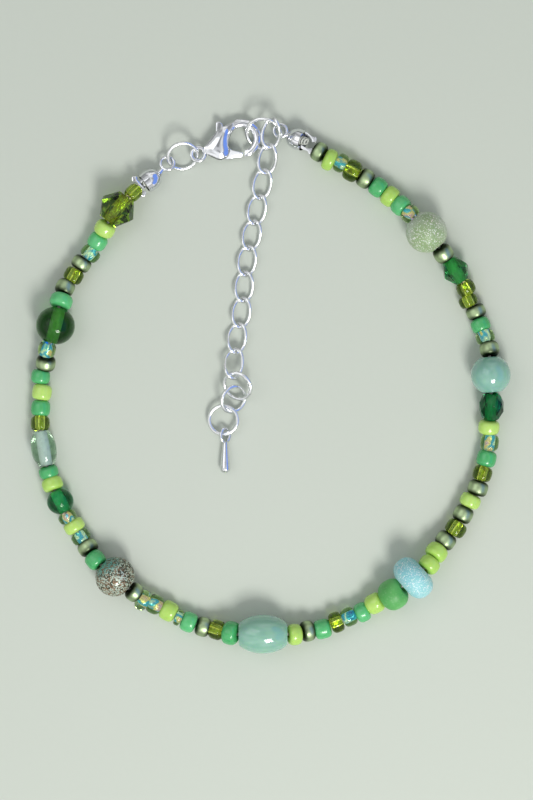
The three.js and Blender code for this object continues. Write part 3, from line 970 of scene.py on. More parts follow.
@dataclass
class Strand:
    """The thread and every bead on it."""

    bench: Bench
    thread: float = 0.5
    bore: float = 1.2
    seed_bore: float = 1.0
    lift_slope: float = 0.35
    gap: float = 0.1
    wobble: float = 4.0
    seed_sides: int = 40

    def __post_init__(self) -> None:
        """Lay the beads out and mix their finishes."""
        self.random = random.Random(7)
        self.beads = self._lay()
        self.materials = {kind: finish.material() for kind, finish in FINISHES.items()}
        # Each lining's last number is painted light: how strongly it emits its own colour, though it is no
        # lamp.
        self.foil = Lining("silver_lining", FOIL, painted_glow=0.4).material()
        self.gold = Lining("gold_lining", GOLD_FOIL, painted_glow=0.15).material()
        self.aurora = Lining("aurora_lining", AURORA, 0.0014, 0.5, 0.28, 0.42).material()
        milk = OpaqueGlass("white_core", srgb(252, 252, 255), srgb(236, 242, 246), 0.3, 0.2)
        self.milk = milk.material()
        frost = OpaqueGlass("frosted_bore", srgb(218, 240, 190), srgb(180, 218, 150), 0.4, 0.2)
        self.frost = frost.material()
        self.nylon = Nylon("nylon_thread", srgb(196, 200, 188)).material()

    def _lay(self) -> list[Laid]:
        """Return the chart's beads with the points where each meets its neighbours.

        Returns:
            The beads, in order.
        """
        beads = []
        for kind, long, wide, *aside in BEAD_CHART:
            beads.append(Laid(Bead(kind), long, wide, aside[0] if aside else 0.0))
        route = Route(THREAD_ROUTE, 2000)
        stretch = route.lengths[-1] / sum(bead.long for bead in beads)
        reached = 0.0
        for bead in beads:
            bead.long *= stretch
            bead.start = reached
            reached += bead.long
        for bead in beads:
            bead.here = self._point(route, beads, bead.start, reached)
            bead.there = self._point(route, beads, bead.start + bead.long, reached)
        return beads

    def _point(self, route: Route, beads: Sequence[Laid], s: float, total: float) -> Vector:
        """Return the thread's point at a length s, at the height that the beads near it hold it.

        Args:
            route: the thread's line.
            beads: every bead, with where it starts.
            s: the length along the thread.
            total: the whole length.

        Returns:
            The point.
        """
        point = route.walk(s / total)
        heights = []
        for bead in beads:
            away = max(0.0, abs(s - bead.start - bead.long / 2) - bead.long / 2)
            heights.append(bead.wide / 2 - self.lift_slope * away)
        point.z = max(heights)
        return point

    def build(self) -> None:
        """Make every bead, its lining and the thread."""
        runs = self._runs()
        for number, run in enumerate(runs, start=1):
            self._seed_run(f"seed_run_{number:02d}", run)
        for bead in self.beads:
            if bead.large:
                self._large_bead(bead)

    def _runs(self) -> list[list[Laid]]:
        """Return the seed beads between the large ones, run by run.

        Returns:
            The runs, in order.
        """
        runs: list[list[Laid]] = []
        for index, bead in enumerate(self.beads):
            if bead.large:
                continue
            if index == 0 or self.beads[index - 1].large:
                runs.append([])
            runs[-1].append(bead)
        return runs

    def _seed_outline(self, bead: Laid, half: float) -> Outline:
        """Return a seed bead's outline: a rounded barrel whose ends roll into the bore.

        Args:
            bead: the bead.
            half: half its length.

        Returns:
            The outline, as (radius, height).
        """
        inner = self.seed_bore / 2
        power = {Bead.LIME: 0.62, Bead.OLIVE_METAL: 0.66}.get(bead.kind, 0.6)
        steps = 16
        outline = []
        for i in range(steps + 1):
            angle = math.pi * (i / steps - 0.5)
            rise = math.copysign(abs(math.sin(angle)) ** 0.72, angle)
            swell = max(math.cos(angle), 0.0) ** power
            outline.append((inner + (bead.wide / 2 - inner) * swell, half * rise))
        outline.append((inner - 0.02, half * 0.93))
        outline.append((inner - 0.02, -half * 0.93))
        return outline

    def _seed_run(self, node: str, run: Sequence[Laid]) -> None:
        """Make one run: its beads, the linings that show through, and its thread.

        Args:
            node: the run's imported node.
            run: its beads in order.
        """
        kinds = sorted({bead.kind for bead in run}, key=lambda kind: kind.value)
        shapes = []
        linings = []
        for bead in run:
            here, there = bead.ends()
            half = ((there - here).length - self.gap * 0.4) / 2
            tone = self.random.random()
            tip = Matrix.Rotation(math.radians(self.random.uniform(-1, 1) * self.wobble), 4, "X")
            roll = self.random.uniform(0, math.tau)
            place = matrix_between(here, there) @ Matrix.Rotation(roll, 4, "Z") @ tip
            shape = spin(self._seed_outline(bead, half), self.seed_sides)
            shapes.append(painted(moved(shape, place), tone, kinds.index(bead.kind)))
            if bead.kind in SHINY_CORE:
                linings.append(self._lining(bead, half, place, tone))
        glass = [self.materials[kind] for kind in kinds]
        self.bench.piece(node + "_beads", join(shapes), glass, "seed_glass", node)
        if linings:
            finishes = [self.foil, self.aurora]
            self.bench.piece(node + "_lining", join(linings), finishes, "seed_glass", node, sharp=25.0)
        self.bench.piece(node + "_thread", self._thread(run), [self.nylon], "seed_glass", node)

    def _lining(self, bead: Laid, half: float, place: Matrix, tone: float) -> bmesh.types.BMesh:
        """Return the foil in a clear bead's bore: square for the silver ones, round for the fired ones.

        Args:
            bead: the bead.
            half: half its length.
            place: where it sits.
            tone: the bead's own tone.

        Returns:
            The foil in its place.
        """
        outer = self.seed_bore / 2 + 0.06
        inner = outer - 0.1
        square = bead.kind is Bead.OLIVE_GLASS
        long = half * 0.96
        outline = [(inner, -long), (outer, -long), (outer, 0), (outer, long), (inner, long), (inner, 0)]
        sides = 4 if square else 28
        shape = spin(outline, sides)
        if square:
            edges = [edge for edge in shape.edges if edge.calc_face_angle(0.0) > 1.0]
            bmesh.ops.bevel(
                shape, geom=edges, offset=0.04, affect="EDGES", segments=1, profile=0.5, material=-1
            )
        return painted(moved(shape, place), tone, 0 if square else 1)

    def _thread(self, run: Sequence[Laid]) -> bmesh.types.BMesh:
        """Return the run's thread, from half way into the large bead before it to half way into the next.

        Args:
            run: the run's beads in order.

        Returns:
            The thread in its place.
        """
        first = self.beads.index(run[0])
        last = self.beads.index(run[-1])
        points = [bead.here for bead in run] + [run[-1].there]
        if first > 0:
            points.insert(0, (self.beads[first - 1].here + self.beads[first - 1].there) / 2)
        for bead in self.beads[last + 1 :]:
            if not bead.large:
                break
            points.append((bead.here + bead.there) / 2)
        lengths = []
        for start, end in zip(points, points[1:]):
            shape = bmesh.new()
            long = (end - start).length
            half = self.thread / 2
            bmesh.ops.create_cone(shape, cap_ends=True, segments=12, radius1=half, radius2=half, depth=long)
            lengths.append(moved(shape, matrix_between(start, end)))
        return join(lengths)

    def _large_outline(self, form: Form, face: float, wide: float, long: float) -> Outline:
        """Return a large bead's outline between its flat ends, with its bore.

        Args:
            form: how it is shaped.
            face: the diameter of its flat ends.
            wide: its diameter.
            long: its length.

        Returns:
            The outline, as (radius, height).
        """
        ratio = face / wide
        if form is Form.BICONE:
            waist = 0.06 * long
            outer = [(face / 2, -long / 2), (wide / 2, -waist), (wide / 2, waist), (face / 2, long / 2)]
        else:
            steps = 5 if form is Form.CUT else 30
            outer = []
            for i in range(steps + 1):
                t = math.sin(math.pi * (i / steps - 0.5))
                fullness = 2.7 if form is Form.PILLOW else 2.0
                outer.append((wide / 2 * math.sqrt(1 - (1 - ratio**2) * abs(t) ** fullness), long / 2 * t))
        inner = self.bore / 2
        if form in (Form.BICONE, Form.CUT):
            rim = [(inner, long / 2), (inner, -long / 2)]
        else:
            rim = [
                (inner + 0.12, long / 2), (inner + 0.03, long / 2 - 0.04), (inner, long / 2 - 0.14),
                (inner, 0.14 - long / 2), (inner + 0.03, 0.04 - long / 2), (inner + 0.12, -long / 2),
            ]
        return outer + rim

    def _large_bead(self, bead: Laid) -> None:
        """Make one large bead and what shows inside it.

        Args:
            bead: the bead.
        """
        form, face, slot = LARGE[bead.kind]
        here, there = bead.ends()
        long = (there - here).length - self.gap * 1.6
        roll = self.random.uniform(0, math.tau)
        place = matrix_between(here, there) @ Matrix.Rotation(roll, 4, "Z")
        node = f"bead_{bead.kind.value}"
        cut = form in (Form.BICONE, Form.CUT)
        sides = 8 if cut else 72
        shape = spin(self._large_outline(form, face, bead.wide, long), sides)
        if cut:
            self._cut_facets(shape)
        painted(moved(shape, place), self.random.random(), 0)
        materials = [self.materials.get(bead.kind) or self._glitter(bead)]
        self.bench.piece(node + "_glass", shape, materials, slot, node, sharp=12.0 if cut else 40.0)
        cores = {Bead.OVAL_CLEAR: self.milk, Bead.BICONE_OLIVE: self.gold}
        cores |= dict.fromkeys(
            (Bead.ROUND_GREEN, Bead.ROUND_DARK_GREEN, Bead.BICONE_GREEN, Bead.FACETED_DARK_GREEN), self.frost
        )
        core = cores.get(bead.kind)
        if core:
            outer = self.bore / 2 + 0.05
            inner = self.bore / 2 + 0.01
            half = long * 0.49
            tube = spin([(inner, -half), (outer, -half), (outer, half), (inner, half)], 36)
            painted(moved(tube, place), 0.5, 0)
            self.bench.piece(node + "_core", tube, [core], slot, node)

    def _cut_facets(self, shape: bmesh.types.BMesh) -> None:
        """Turn every second ring of a cut bead half a step, so that its facets are triangles.

        Args:
            shape: the bead, standing along Z.
        """
        rings: dict[float, list[bmesh.types.BMVert]] = {}
        for vert in shape.verts:
            if vert.co.xy.length > self.bore / 2 + 0.05:
                rings.setdefault(round(vert.co.z, 3), []).append(vert)
        for i, height in enumerate(sorted(rings)):
            if i % 2:
                half_step = math.pi / len(rings[height])
                bmesh.ops.rotate(shape, verts=rings[height], matrix=Matrix.Rotation(half_step, 3, "Z"))
        bore = self.bore / 2 + 0.05
        outside = [face for face in shape.faces if face.calc_center_median().xy.length > bore]
        bmesh.ops.triangulate(shape, faces=outside, quad_method="SHORT_EDGE")

    def _glitter(self, bead: Laid) -> bpy.types.Material:
        """Return the glitter ball's finish, bare on the side towards the bead before it.

        Args:
            bead: the ball in its place.

        Returns:
            The finish.
        """
        middle = (bead.here + bead.there) / 2
        bare = middle - bead.heading * 1.9 + Vector((0.1, 0.9, 1.6))
        bronze = middle + Vector((-1.2, -1.6, 2.2))
        finish = GlitterGlass(
            "glitter_glass", srgb(138, 112, 86), srgb(192, 206, 190), srgb(66, 68, 52), srgb(104, 176, 166),
            bare * MM, bronze * MM, 2.9 * MM,
        )
        return finish.material()


# --- metal findings ----------------------------------------------------------------------------


@dataclass
class Rings:
    """The round jump rings, each cut through once so that it can be opened."""

    bench: Bench
    plate: bpy.types.Material
    wire: float = 0.62
    cut: float = 2.0  # degrees
    # Name, centre x, y and height, radius, tilt, which way the high side faces, and where the cut is.
    table: tuple[tuple[str, float, float, float, float, float, float, float], ...] = (
        ("jump_ring_left", -13.68, 35.73, 1.63, 2.32, 37, 107, 60),
        ("jump_ring_right", -1.0, 39.18, 1.91, 2.7, 38, 74, 130),
        ("drop_ring_upper", -5.1, -0.25, 1.73, 2.25, 35, 49, 20),
        ("drop_ring_middle", -5.71, -2.33, 1.6, 2.1, 37, 149, 230),
        ("drop_ring_lower", -7.32, -5.6, 1.16, 2.24, 9, 48, 5),
    )

    def build(self) -> None:
        """Make every ring."""
        for name, x, y, z, radius, tilt, high, cut_at in self.table:
            shape = sweep(oval(radius, radius), self.wire, 96, 16, math.tau - math.radians(self.cut))
            place = ring_matrix(x, y, z, tilt, high) @ Matrix.Rotation(math.radians(cut_at - high), 4, "Z")
            self.bench.piece(name + "_wire", moved(shape, place), [self.plate], "silver_plate", name)


@dataclass
class ExtenderChain:
    """Ten twisted oval links in a row."""

    bench: Bench
    plate: bpy.types.Material
    wire: float = 0.57
    long: float = 5.24
    wide: float = 3.29
    twist: float = 0.68
    count: int = 10
    rolls: tuple[float, ...] = (-14, -11)

    def _path(self, angle: float) -> Vector:
        """Return the link's middle line: an oval along X whose ends are twisted opposite ways.

        Args:
            angle: how far round the link.

        Returns:
            The point.
        """
        side = (self.wide - self.wire) / 2 * math.sin(angle)
        lift = -self.twist * side * math.cos(angle)
        return Vector(((self.long - self.wire) / 2 * math.cos(angle), side, lift))

    def build(self) -> None:
        """Make every link, spread evenly along the chain's line."""
        route = Route(CHAIN_ROUTE, 200)
        for i in range(self.count):
            share = i / (self.count - 1)
            ahead = (route.walk(share + 0.0005) - route.walk(share - 0.0005)).normalized()
            roll = math.radians(self.rolls[i]) if i < len(self.rolls) else 0.0
            place = (
                Matrix.Translation(route.walk(share))
                @ Matrix.Rotation(math.atan2(-ahead.y, -ahead.x), 4, "Z")
                @ Matrix.Rotation(math.asin(ahead.z), 4, "Y")
                @ Matrix.Rotation(roll, 4, "X")
            )
            node = f"chain_link_{i + 1:02d}"
            shape = moved(sweep(self._path, self.wire, 72, 14), place)
            self.bench.piece(node + "_wire", shape, [self.plate], "silver_plate", node)


@dataclass
class Calotte:
    """A cup that hides the knot: a dome with a neck and loop on one side and two bent lips on the other."""

    bench: Bench
    plate: bpy.types.Material
    nylon: bpy.types.Material
    node: str
    place: tuple[float, float, float]
    heading: float
    loop: tuple[float, float, float, float, float, float]  # x, y, height, radius, tilt, high side's heading
    lips: list[tuple[Outline, float]]  # each lip's line (x, y) and its height above the cup's middle
    wide: float = 3.4
    wall: float = 0.22
    apex: float = 1.8
    deep: float = 3.1
    squash: float = 0.85
    lean: float = 30.0
    wire: float = 0.6
    strand: float = 0.28

    def build(self) -> None:
        """Make the cup, its neck and loop, its lips, and the knot inside."""
        turn = Matrix.Rotation(math.radians(self.heading), 4, "Z")
        turn = turn @ Matrix.Rotation(math.radians(self.lean), 4, "Y")
        here = Matrix.Translation(self.place) @ turn
        along = here @ Matrix.Scale(self.squash, 4, (0, 0, 1)) @ Matrix.Rotation(math.pi / 2, 4, "Y")
        parts = [moved(spin(self._cup(), 64, closed=False), along)]
        x, y, z, radius, tilt, high = self.loop
        top = here @ Vector((self.apex - 0.25, 0, 0))
        eye = Vector((x, y, z))
        meet = eye.lerp(top, (radius - 0.05) / (eye - top).length)
        neck = bmesh.new()
        bmesh.ops.create_cone(
            neck, cap_ends=True, segments=24, radius1=0.62, radius2=0.26, depth=(meet - top).length + 0.1
        )
        parts.append(moved(neck, matrix_between(top, meet)))
        loop = sweep(oval(radius, radius), self.wire * 0.9, 64, 14)
        parts.append(moved(loop, ring_matrix(x, y, z, tilt, high)))
        for lip, height in self.lips:
            points = [(x - self.place[0], y - self.place[1]) for x, y in lip]
            parts.append(moved(self._lip(points, height), Matrix.Translation(self.place)))
        self.bench.piece(self.node + "_cup", join(parts), [self.plate], "silver_plate", self.node)
        knot = moved(self._knot(), here)
        self.bench.piece(self.node + "_knot", knot, [self.nylon], "silver_plate", self.node)

    def _cup(self) -> Outline:
        """Return the cup's outline: a pointed dome outside, the same inside, joined at the rim.

        Returns:
            The outline, as (radius, height).
        """
        radius = self.wide / 2
        mouth = self.apex - self.deep
        outer = []
        inner = []
        steps = 16
        for i in range(steps + 1):
            t = i / steps
            height = mouth + (self.apex - mouth) * t
            narrowing = max(0.0, (t - 0.25) / 0.75) ** 2.2
            flare = 0.93 + 0.07 * min(t / 0.3, 1)
            swell = radius * math.sqrt(max(0.0, 1 - narrowing)) * flare
            outer.append((max(swell, 0.0), height))
            inner.append((max(swell - self.wall, 0.0), min(height, self.apex - self.wall)))
        return [*reversed(inner), *outer]

    def _lip(self, points: Outline, height: float) -> bmesh.types.BMesh:
        """Return a lip: a folded strip that stands on edge at the rim and turns flat at its tip.

        Args:
            points: where the strip's middle runs, beside the cup's own middle, in millimetres.
            height: how far above the cup's middle it runs.

        Returns:
            The strip with its edges rounded.
        """
        route = Route([(*point, height) for point in points], 40)
        steps = 14
        strip = bmesh.new()
        bmesh.ops.create_grid(strip, x_segments=steps, y_segments=2, size=0.5)
        for vert in strip.verts:
            t = vert.co.x + 0.5
            here = route.walk(t)
            ahead = (route.walk(t + 0.01) - route.walk(t - 0.01)).normalized()
            side = Vector((-ahead.y, ahead.x, 0)).normalized()
            flat = math.pi / 2 * (0.6 + 0.38 * t)
            across = side * math.sin(flat) + Vector((0, 0, 1)) * math.cos(flat)
            wide = 0.6 - 0.3 * t + 0.75 * max(0.0, 1 - abs(t - 0.82) / 0.18)
            if t > 0.985:
                wide = 0.2
            vert.co = here + across * (vert.co.y * wide)
        bmesh.ops.solidify(strip, geom=strip.faces[:], thickness=0.28)
        bmesh.ops.recalc_face_normals(strip, faces=strip.faces)
        edges = [edge for edge in strip.edges if edge.calc_face_angle(0.0) > 0.8]
        bmesh.ops.bevel(strip, geom=edges, offset=0.04, affect="EDGES", segments=2, profile=0.5, material=-1)
        return strip

    def _knot(self) -> bmesh.types.BMesh:
        """Return the knot: a few turns of thread wound just outside the cup's mouth.

        Returns:
            The coils.
        """
        mouth = self.apex - self.deep
        turns = []
        for i, radius in enumerate((0.6, 0.56, 0.44)):
            ring = sweep(oval(radius, radius), self.strand, 40, 10)
            out = Matrix.Translation((mouth + 0.3 - 0.42 * i, 0, 0.0))
            turn = out @ Matrix.Rotation(math.pi / 2, 4, "Y")
            turns.append(moved(ring, turn @ Matrix.Rotation(0.22, 4, "X")))
        return join(turns)


@dataclass
class Clasp:
    """The lobster clasp: a domed body with an eye and a hook, and the lever that closes it."""

    bench: Bench
    plate: bpy.types.Material
    x: float = -11.25
    y: float = 36.05
    turn: float = 16.0
    thick: float = 2.4
    middle: float = 1.2
    slot: float = 1.15
    grid: float = 0.14
    pivot: tuple[float, float] = (3.4, -0.3)
    lobe: float = 1.46
    heel_round: float = 1.46  # how far in from its edge each shell keeps rising, in the heel
    hook_round: float = 0.34  # and in the hook
    hook_half: float = 0.6  # half the hook's thickness
    heel_edge: float = 0.62  # a shell's height at its edge
    gate_back: tuple[float, float] = (4.98, -0.72)  # where the gate's slope starts
    gate_way: tuple[float, float] = (-0.276, -0.961)  # and the way it falls
    gate_slope: float = 0.36
    eye_radius: float = 1.06
    eye_height: float = 1.38
    wire: float = 0.62

    def build(self) -> None:
        """Make the body and the lever."""
        place = Matrix.Translation((self.x, self.y, 0)) @ Matrix.Rotation(math.radians(self.turn), 4, "Z")
        body = moved(self._body(), place)
        self.bench.piece("clasp_body_shell", body, [self.plate], "silver_plate", "clasp_body", sharp=50.0)
        lever = moved(self._lever(), place)
        self.bench.piece(
            "clasp_lever_gate", lever, [self.plate], "silver_plate", "clasp_lever", LEVER, sharp=50.0
        )

    def _body(self) -> bmesh.types.BMesh:
        """Return the body: two domed shells, the wall that joins them, the neck, the eye and the pin.

        Returns:
            The body.
        """
        bridge = [(4.95, 2.2), (5.25, 2.9), (6.6, 3.2), (6.4, 2.5), (5.4, 1.65)]
        wall = self._plan(bridge, 0.5, self.thick - 0.5, 0.1)
        neck = self._plan([(0.9, -0.15), (0.9, 0.5), (1.8, 1.0), (2.0, -0.4)], 0.85, 1.85, 0.2)
        return join([self._shell(1), self._shell(-1), wall, neck, self._eye(), self._pin()])

    @staticmethod
    def _plan(points: Outline, low: float, high: float, round_off: float) -> bmesh.types.BMesh:
        """Raise a plan outline between two heights and round its edges.

        Args:
            points: the outline.
            low: its lower height.
            high: its upper height.
            round_off: how far its edges are rounded.

        Returns:
            The raised shape.
        """
        shape = bmesh.new()
        face = shape.faces.new([shape.verts.new((x, y, low)) for x, y in points])
        grown = bmesh.ops.extrude_face_region(shape, geom=[face])["geom"]
        tops = [part for part in grown if isinstance(part, bmesh.types.BMVert)]
        bmesh.ops.translate(shape, verts=tops, vec=(0, 0, high - low))
        bmesh.ops.recalc_face_normals(shape, faces=shape.faces)
        flat = [edge for edge in shape.edges if abs(edge.verts[0].co.z - edge.verts[1].co.z) < 1e-6]
        bmesh.ops.bevel(
            shape, geom=flat, offset=round_off, affect="EDGES", segments=4, profile=0.5, material=-1,
            clamp_overlap=True,
        )
        return shape

    def _outline(self) -> Outline:
        """Return the plan of the heel and the hook in one line, from the neck round to the pivot's lobe.

        Returns:
            The plan.
        """
        points = [(1.15, -0.25), (1.15, 0.72), (1.9, 1.28), (2.8, 1.95)]
        points += self._bend((3.65, 2.6), (4.12, 2.96), (6.8, 3.46), 10)
        points += self._arc((7.3, 0.6), 2.98, 96, -98, 44)
        points += self._arc((7.28, 0.45), 1.82, -92, 136, 40)
        points += self._bend((5.9, 1.68), (4.98, 0.74), (4.86, -0.35), 8)
        points += self._arc(self.pivot, self.lobe, -8, -118, 14)
        return points

    def _shell(self, side: int) -> bmesh.types.BMesh:
        """Return the upper (side 1) or lower (side -1) shell: domed outside, flat where the lever turns.

        Args:
            side: which shell.

        Returns:
            The shell.
        """
        outline = self._outline()
        shape = bmesh.new()
        face = shape.faces.new([shape.verts.new((x, y, 0)) for x, y in outline])
        for axis in (0, 1):
            low = min(point[axis] for point in outline)
            high = max(point[axis] for point in outline)
            cuts = int((high - low) / self.grid)
            for i in range(1, cuts):
                at = [0.0, 0.0, 0.0]
                way = [0.0, 0.0, 0.0]
                at[axis] = low + (high - low) * i / cuts
                way[axis] = 1.0
                geom = [*shape.verts, *shape.edges, *shape.faces]
                bmesh.ops.bisect_plane(shape, geom=geom, plane_co=at, plane_no=way, dist=1e-4)
        rim = {vert for edge in shape.edges if edge.is_boundary for vert in edge.verts}
        inside = [vert for vert in shape.verts if vert not in rim]
        flat = list(shape.verts)
        grown = bmesh.ops.extrude_face_region(shape, geom=shape.faces[:])["geom"]
        domed = [part for part in grown if isinstance(part, bmesh.types.BMVert)]
        for vert in domed:
            vert.co.z = self._dome(vert.co.x, vert.co.y, outline, side)
        for vert in flat:
            slim = self._slim(vert.co.x)
            vert.co.z = self.middle + side * (self.slot / 2) * (1 - slim)
        kept = {(round(vert.co.x, 4), round(vert.co.y, 4)) for vert in inside}
        soft = [vert for vert in domed if (round(vert.co.x, 4), round(vert.co.y, 4)) in kept]
        for _ in range(64):
            bmesh.ops.smooth_vert(
                shape, verts=soft, factor=0.5, use_axis_x=False, use_axis_y=False, use_axis_z=True
            )
        bmesh.ops.recalc_face_normals(shape, faces=shape.faces)
        return shape

    @staticmethod
    def _slim(x: float) -> float:
        """Return 0 in the heel and 1 in the hook, with a smooth change between them."""
        t = min(max((x - 4.6) / 1.9, 0.0), 1.0)
        return t * t * (3 - 2 * t)

    def _dome(self, x: float, y: float, outline: Outline, side: int) -> float:
        """Return a shell's outer height at a place in its plan: round at the edge and level far from it.

        Args:
            x: the place.
            y: the place.
            outline: the shell's plan.
            side: which shell.

        Returns:
            The height.
        """
        here = Vector((x, y))
        corners = [Vector(point) for point in outline]
        away = min(self._distance(here, a, b) for a, b in zip(corners, corners[1:] + corners[:1]))
        slim = self._slim(x)
        reach = self.heel_round + (self.hook_round - self.heel_round) * slim
        top = self.thick / 2 + (self.hook_half - self.thick / 2) * slim
        edge = self.heel_edge * (1 - slim)
        rise = math.sqrt(1 - (1 - min(away / reach, 1.0)) ** 2)
        return self.middle + side * (edge + (top - edge) * rise)

    @staticmethod
    def _distance(here: Vector, a: Vector, b: Vector) -> float:
        """Return how far a point is from the line between two others.

        Args:
            here: the point.
            a: the line's start.
            b: the line's end.

        Returns:
            The distance.
        """
        span = b - a
        share = min(max((here - a).dot(span) / max(span.length_squared, 1e-12), 0.0), 1.0)
        return (here - a - span * share).length

    @staticmethod
    def _bend(
        start: tuple[float, float], pull: tuple[float, float], end: tuple[float, float], steps: int
    ) -> Outline:
        """Return points on a curve from start to end that is pulled towards a third point.

        Args:
            start: the curve's start.
            pull: the point that it is pulled towards.
            end: the curve's end.
            steps: how many lengths it has.

        Returns:
            The points.
        """
        curve = []
        for i in range(steps + 1):
            t = i / steps
            weights = ((1 - t) ** 2, 2 * t * (1 - t), t * t)
            curve.append(tuple(sum(w * p[k] for w, p in zip(weights, (start, pull, end))) for k in (0, 1)))
        return curve

    @staticmethod
    def _arc(
        middle: tuple[float, float], radius: float, first: float, last: float, steps: int
    ) -> Outline:
        """Return points on an arc, its angles in degrees.

        Args:
            middle: the arc's middle.
            radius: its radius.
            first: its first angle.
            last: its last angle.
            steps: how many lengths it has.

        Returns:
            The points.
        """
        angles = [math.radians(first + (last - first) * i / steps) for i in range(steps + 1)]
        return [(middle[0] + radius * math.cos(a), middle[1] + radius * math.sin(a)) for a in angles]

    def _eye(self) -> bmesh.types.BMesh:
        """Return the eye that the left jump ring goes through."""
        return sweep(oval(self.eye_radius, self.eye_radius, self.eye_height), self.wire, 64, 14)

    def _pin(self) -> bmesh.types.BMesh:
        """Return the pivot's pin between the shells.

        Returns:
            The pin.
        """
        pin = bmesh.new()
        deep = self.thick - 0.6
        bmesh.ops.create_cone(pin, cap_ends=True, segments=32, radius1=0.35, radius2=0.35, depth=deep)
        return moved(pin, Matrix.Translation((*self.pivot, self.middle)))

    def _lever(self) -> bmesh.types.BMesh:
        """Return the lever: hub, arm, the gate's thick end outside the shells, and the thumb tab.

        Returns:
            The lever.
        """
        low, high = 0.82, 1.58
        root = self._plan([(3.1, -1.3), (5.2, -1.95), (5.4, -0.95), (4.3, 0.2)], low, high, 0.08)
        outline = [
            (4.85, -1.05), (4.3, -1.64), (3.7, -1.88), (4.2, -2.08), (6.5, -2.38), (6.8, -1.76), self.gate_back,
        ]
        gate = self._plan(outline, 0.25, 2.15, 0.12)
        back, way = self.gate_back, self.gate_way
        for vert in gate.verts:
            down = way[0] * (vert.co.x - back[0]) + way[1] * (vert.co.y - back[1])
            vert.co.z += math.copysign(self.gate_slope * down, self.middle - vert.co.z)
        tab = [
            (3.2, 0.3), (3.75, 0.3), (4.95, 3.15), (4.97, 3.5),
            (4.7, 3.95), (4.35, 4.08), (4.0, 4.02), (3.62, 2.7),
        ]
        arm = self._plan(tab, low, high, 0.14)
        hub = spin([(0.62, low), (1.1, low), (1.1, high), (0.62, high)], 40)
        return join([root, gate, arm, moved(hub, Matrix.Translation((*self.pivot, 0)))])


@dataclass
class Drop:
    """The slender drop at the chain's end, lying flat under its eye."""

    bench: Bench
    plate: bpy.types.Material
    x: float = -7.03
    y: float = -8.02
    z: float = 0.96
    roll: float = 42.0
    long: float = 4.9
    neck: float = 0.75
    foot: float = 1.6
    round_end: float = 0.72
    eye_wide: float = 2.3
    eye_long: float = 2.7
    wire: float = 0.52

    def build(self) -> None:
        """Make the eye and the drop in one piece."""
        line = oval((self.eye_wide - self.wire) / 2, (self.eye_long - self.wire) / 2)
        eye = moved(sweep(line, self.wire, 64, 14), Matrix.Rotation(math.radians(self.roll), 4, "Y"))
        top = -self.eye_long / 2 + 0.3
        foot = top - self.long
        outline = [(0.0, foot)]
        steps = 10
        for i in range(1, steps + 1):
            angle = math.pi / 2 * i / steps
            height = foot + self.foot * 0.45 * (1 - math.cos(angle))
            outline.append((self.foot / 2 * math.sin(angle), height))
        for i in range(1, 9):
            t = i / 8
            radius = self.foot / 2 + (self.neck - self.foot) / 2 * t**1.15
            outline.append((radius, foot + self.round_end + (self.long - self.round_end) * t))
        outline.append((0.0, top + 0.02))
        body = moved(spin(outline, 48, closed=False), Matrix.Rotation(-math.pi / 2, 4, "X"))
        shape = moved(join([body, eye]), Matrix.Translation((self.x, self.y, self.z)))
        self.bench.piece("drop_and_eye", shape, [self.plate], "silver_plate", "drop", sharp=50.0)


# --- the studio --------------------------------------------------------------------------------


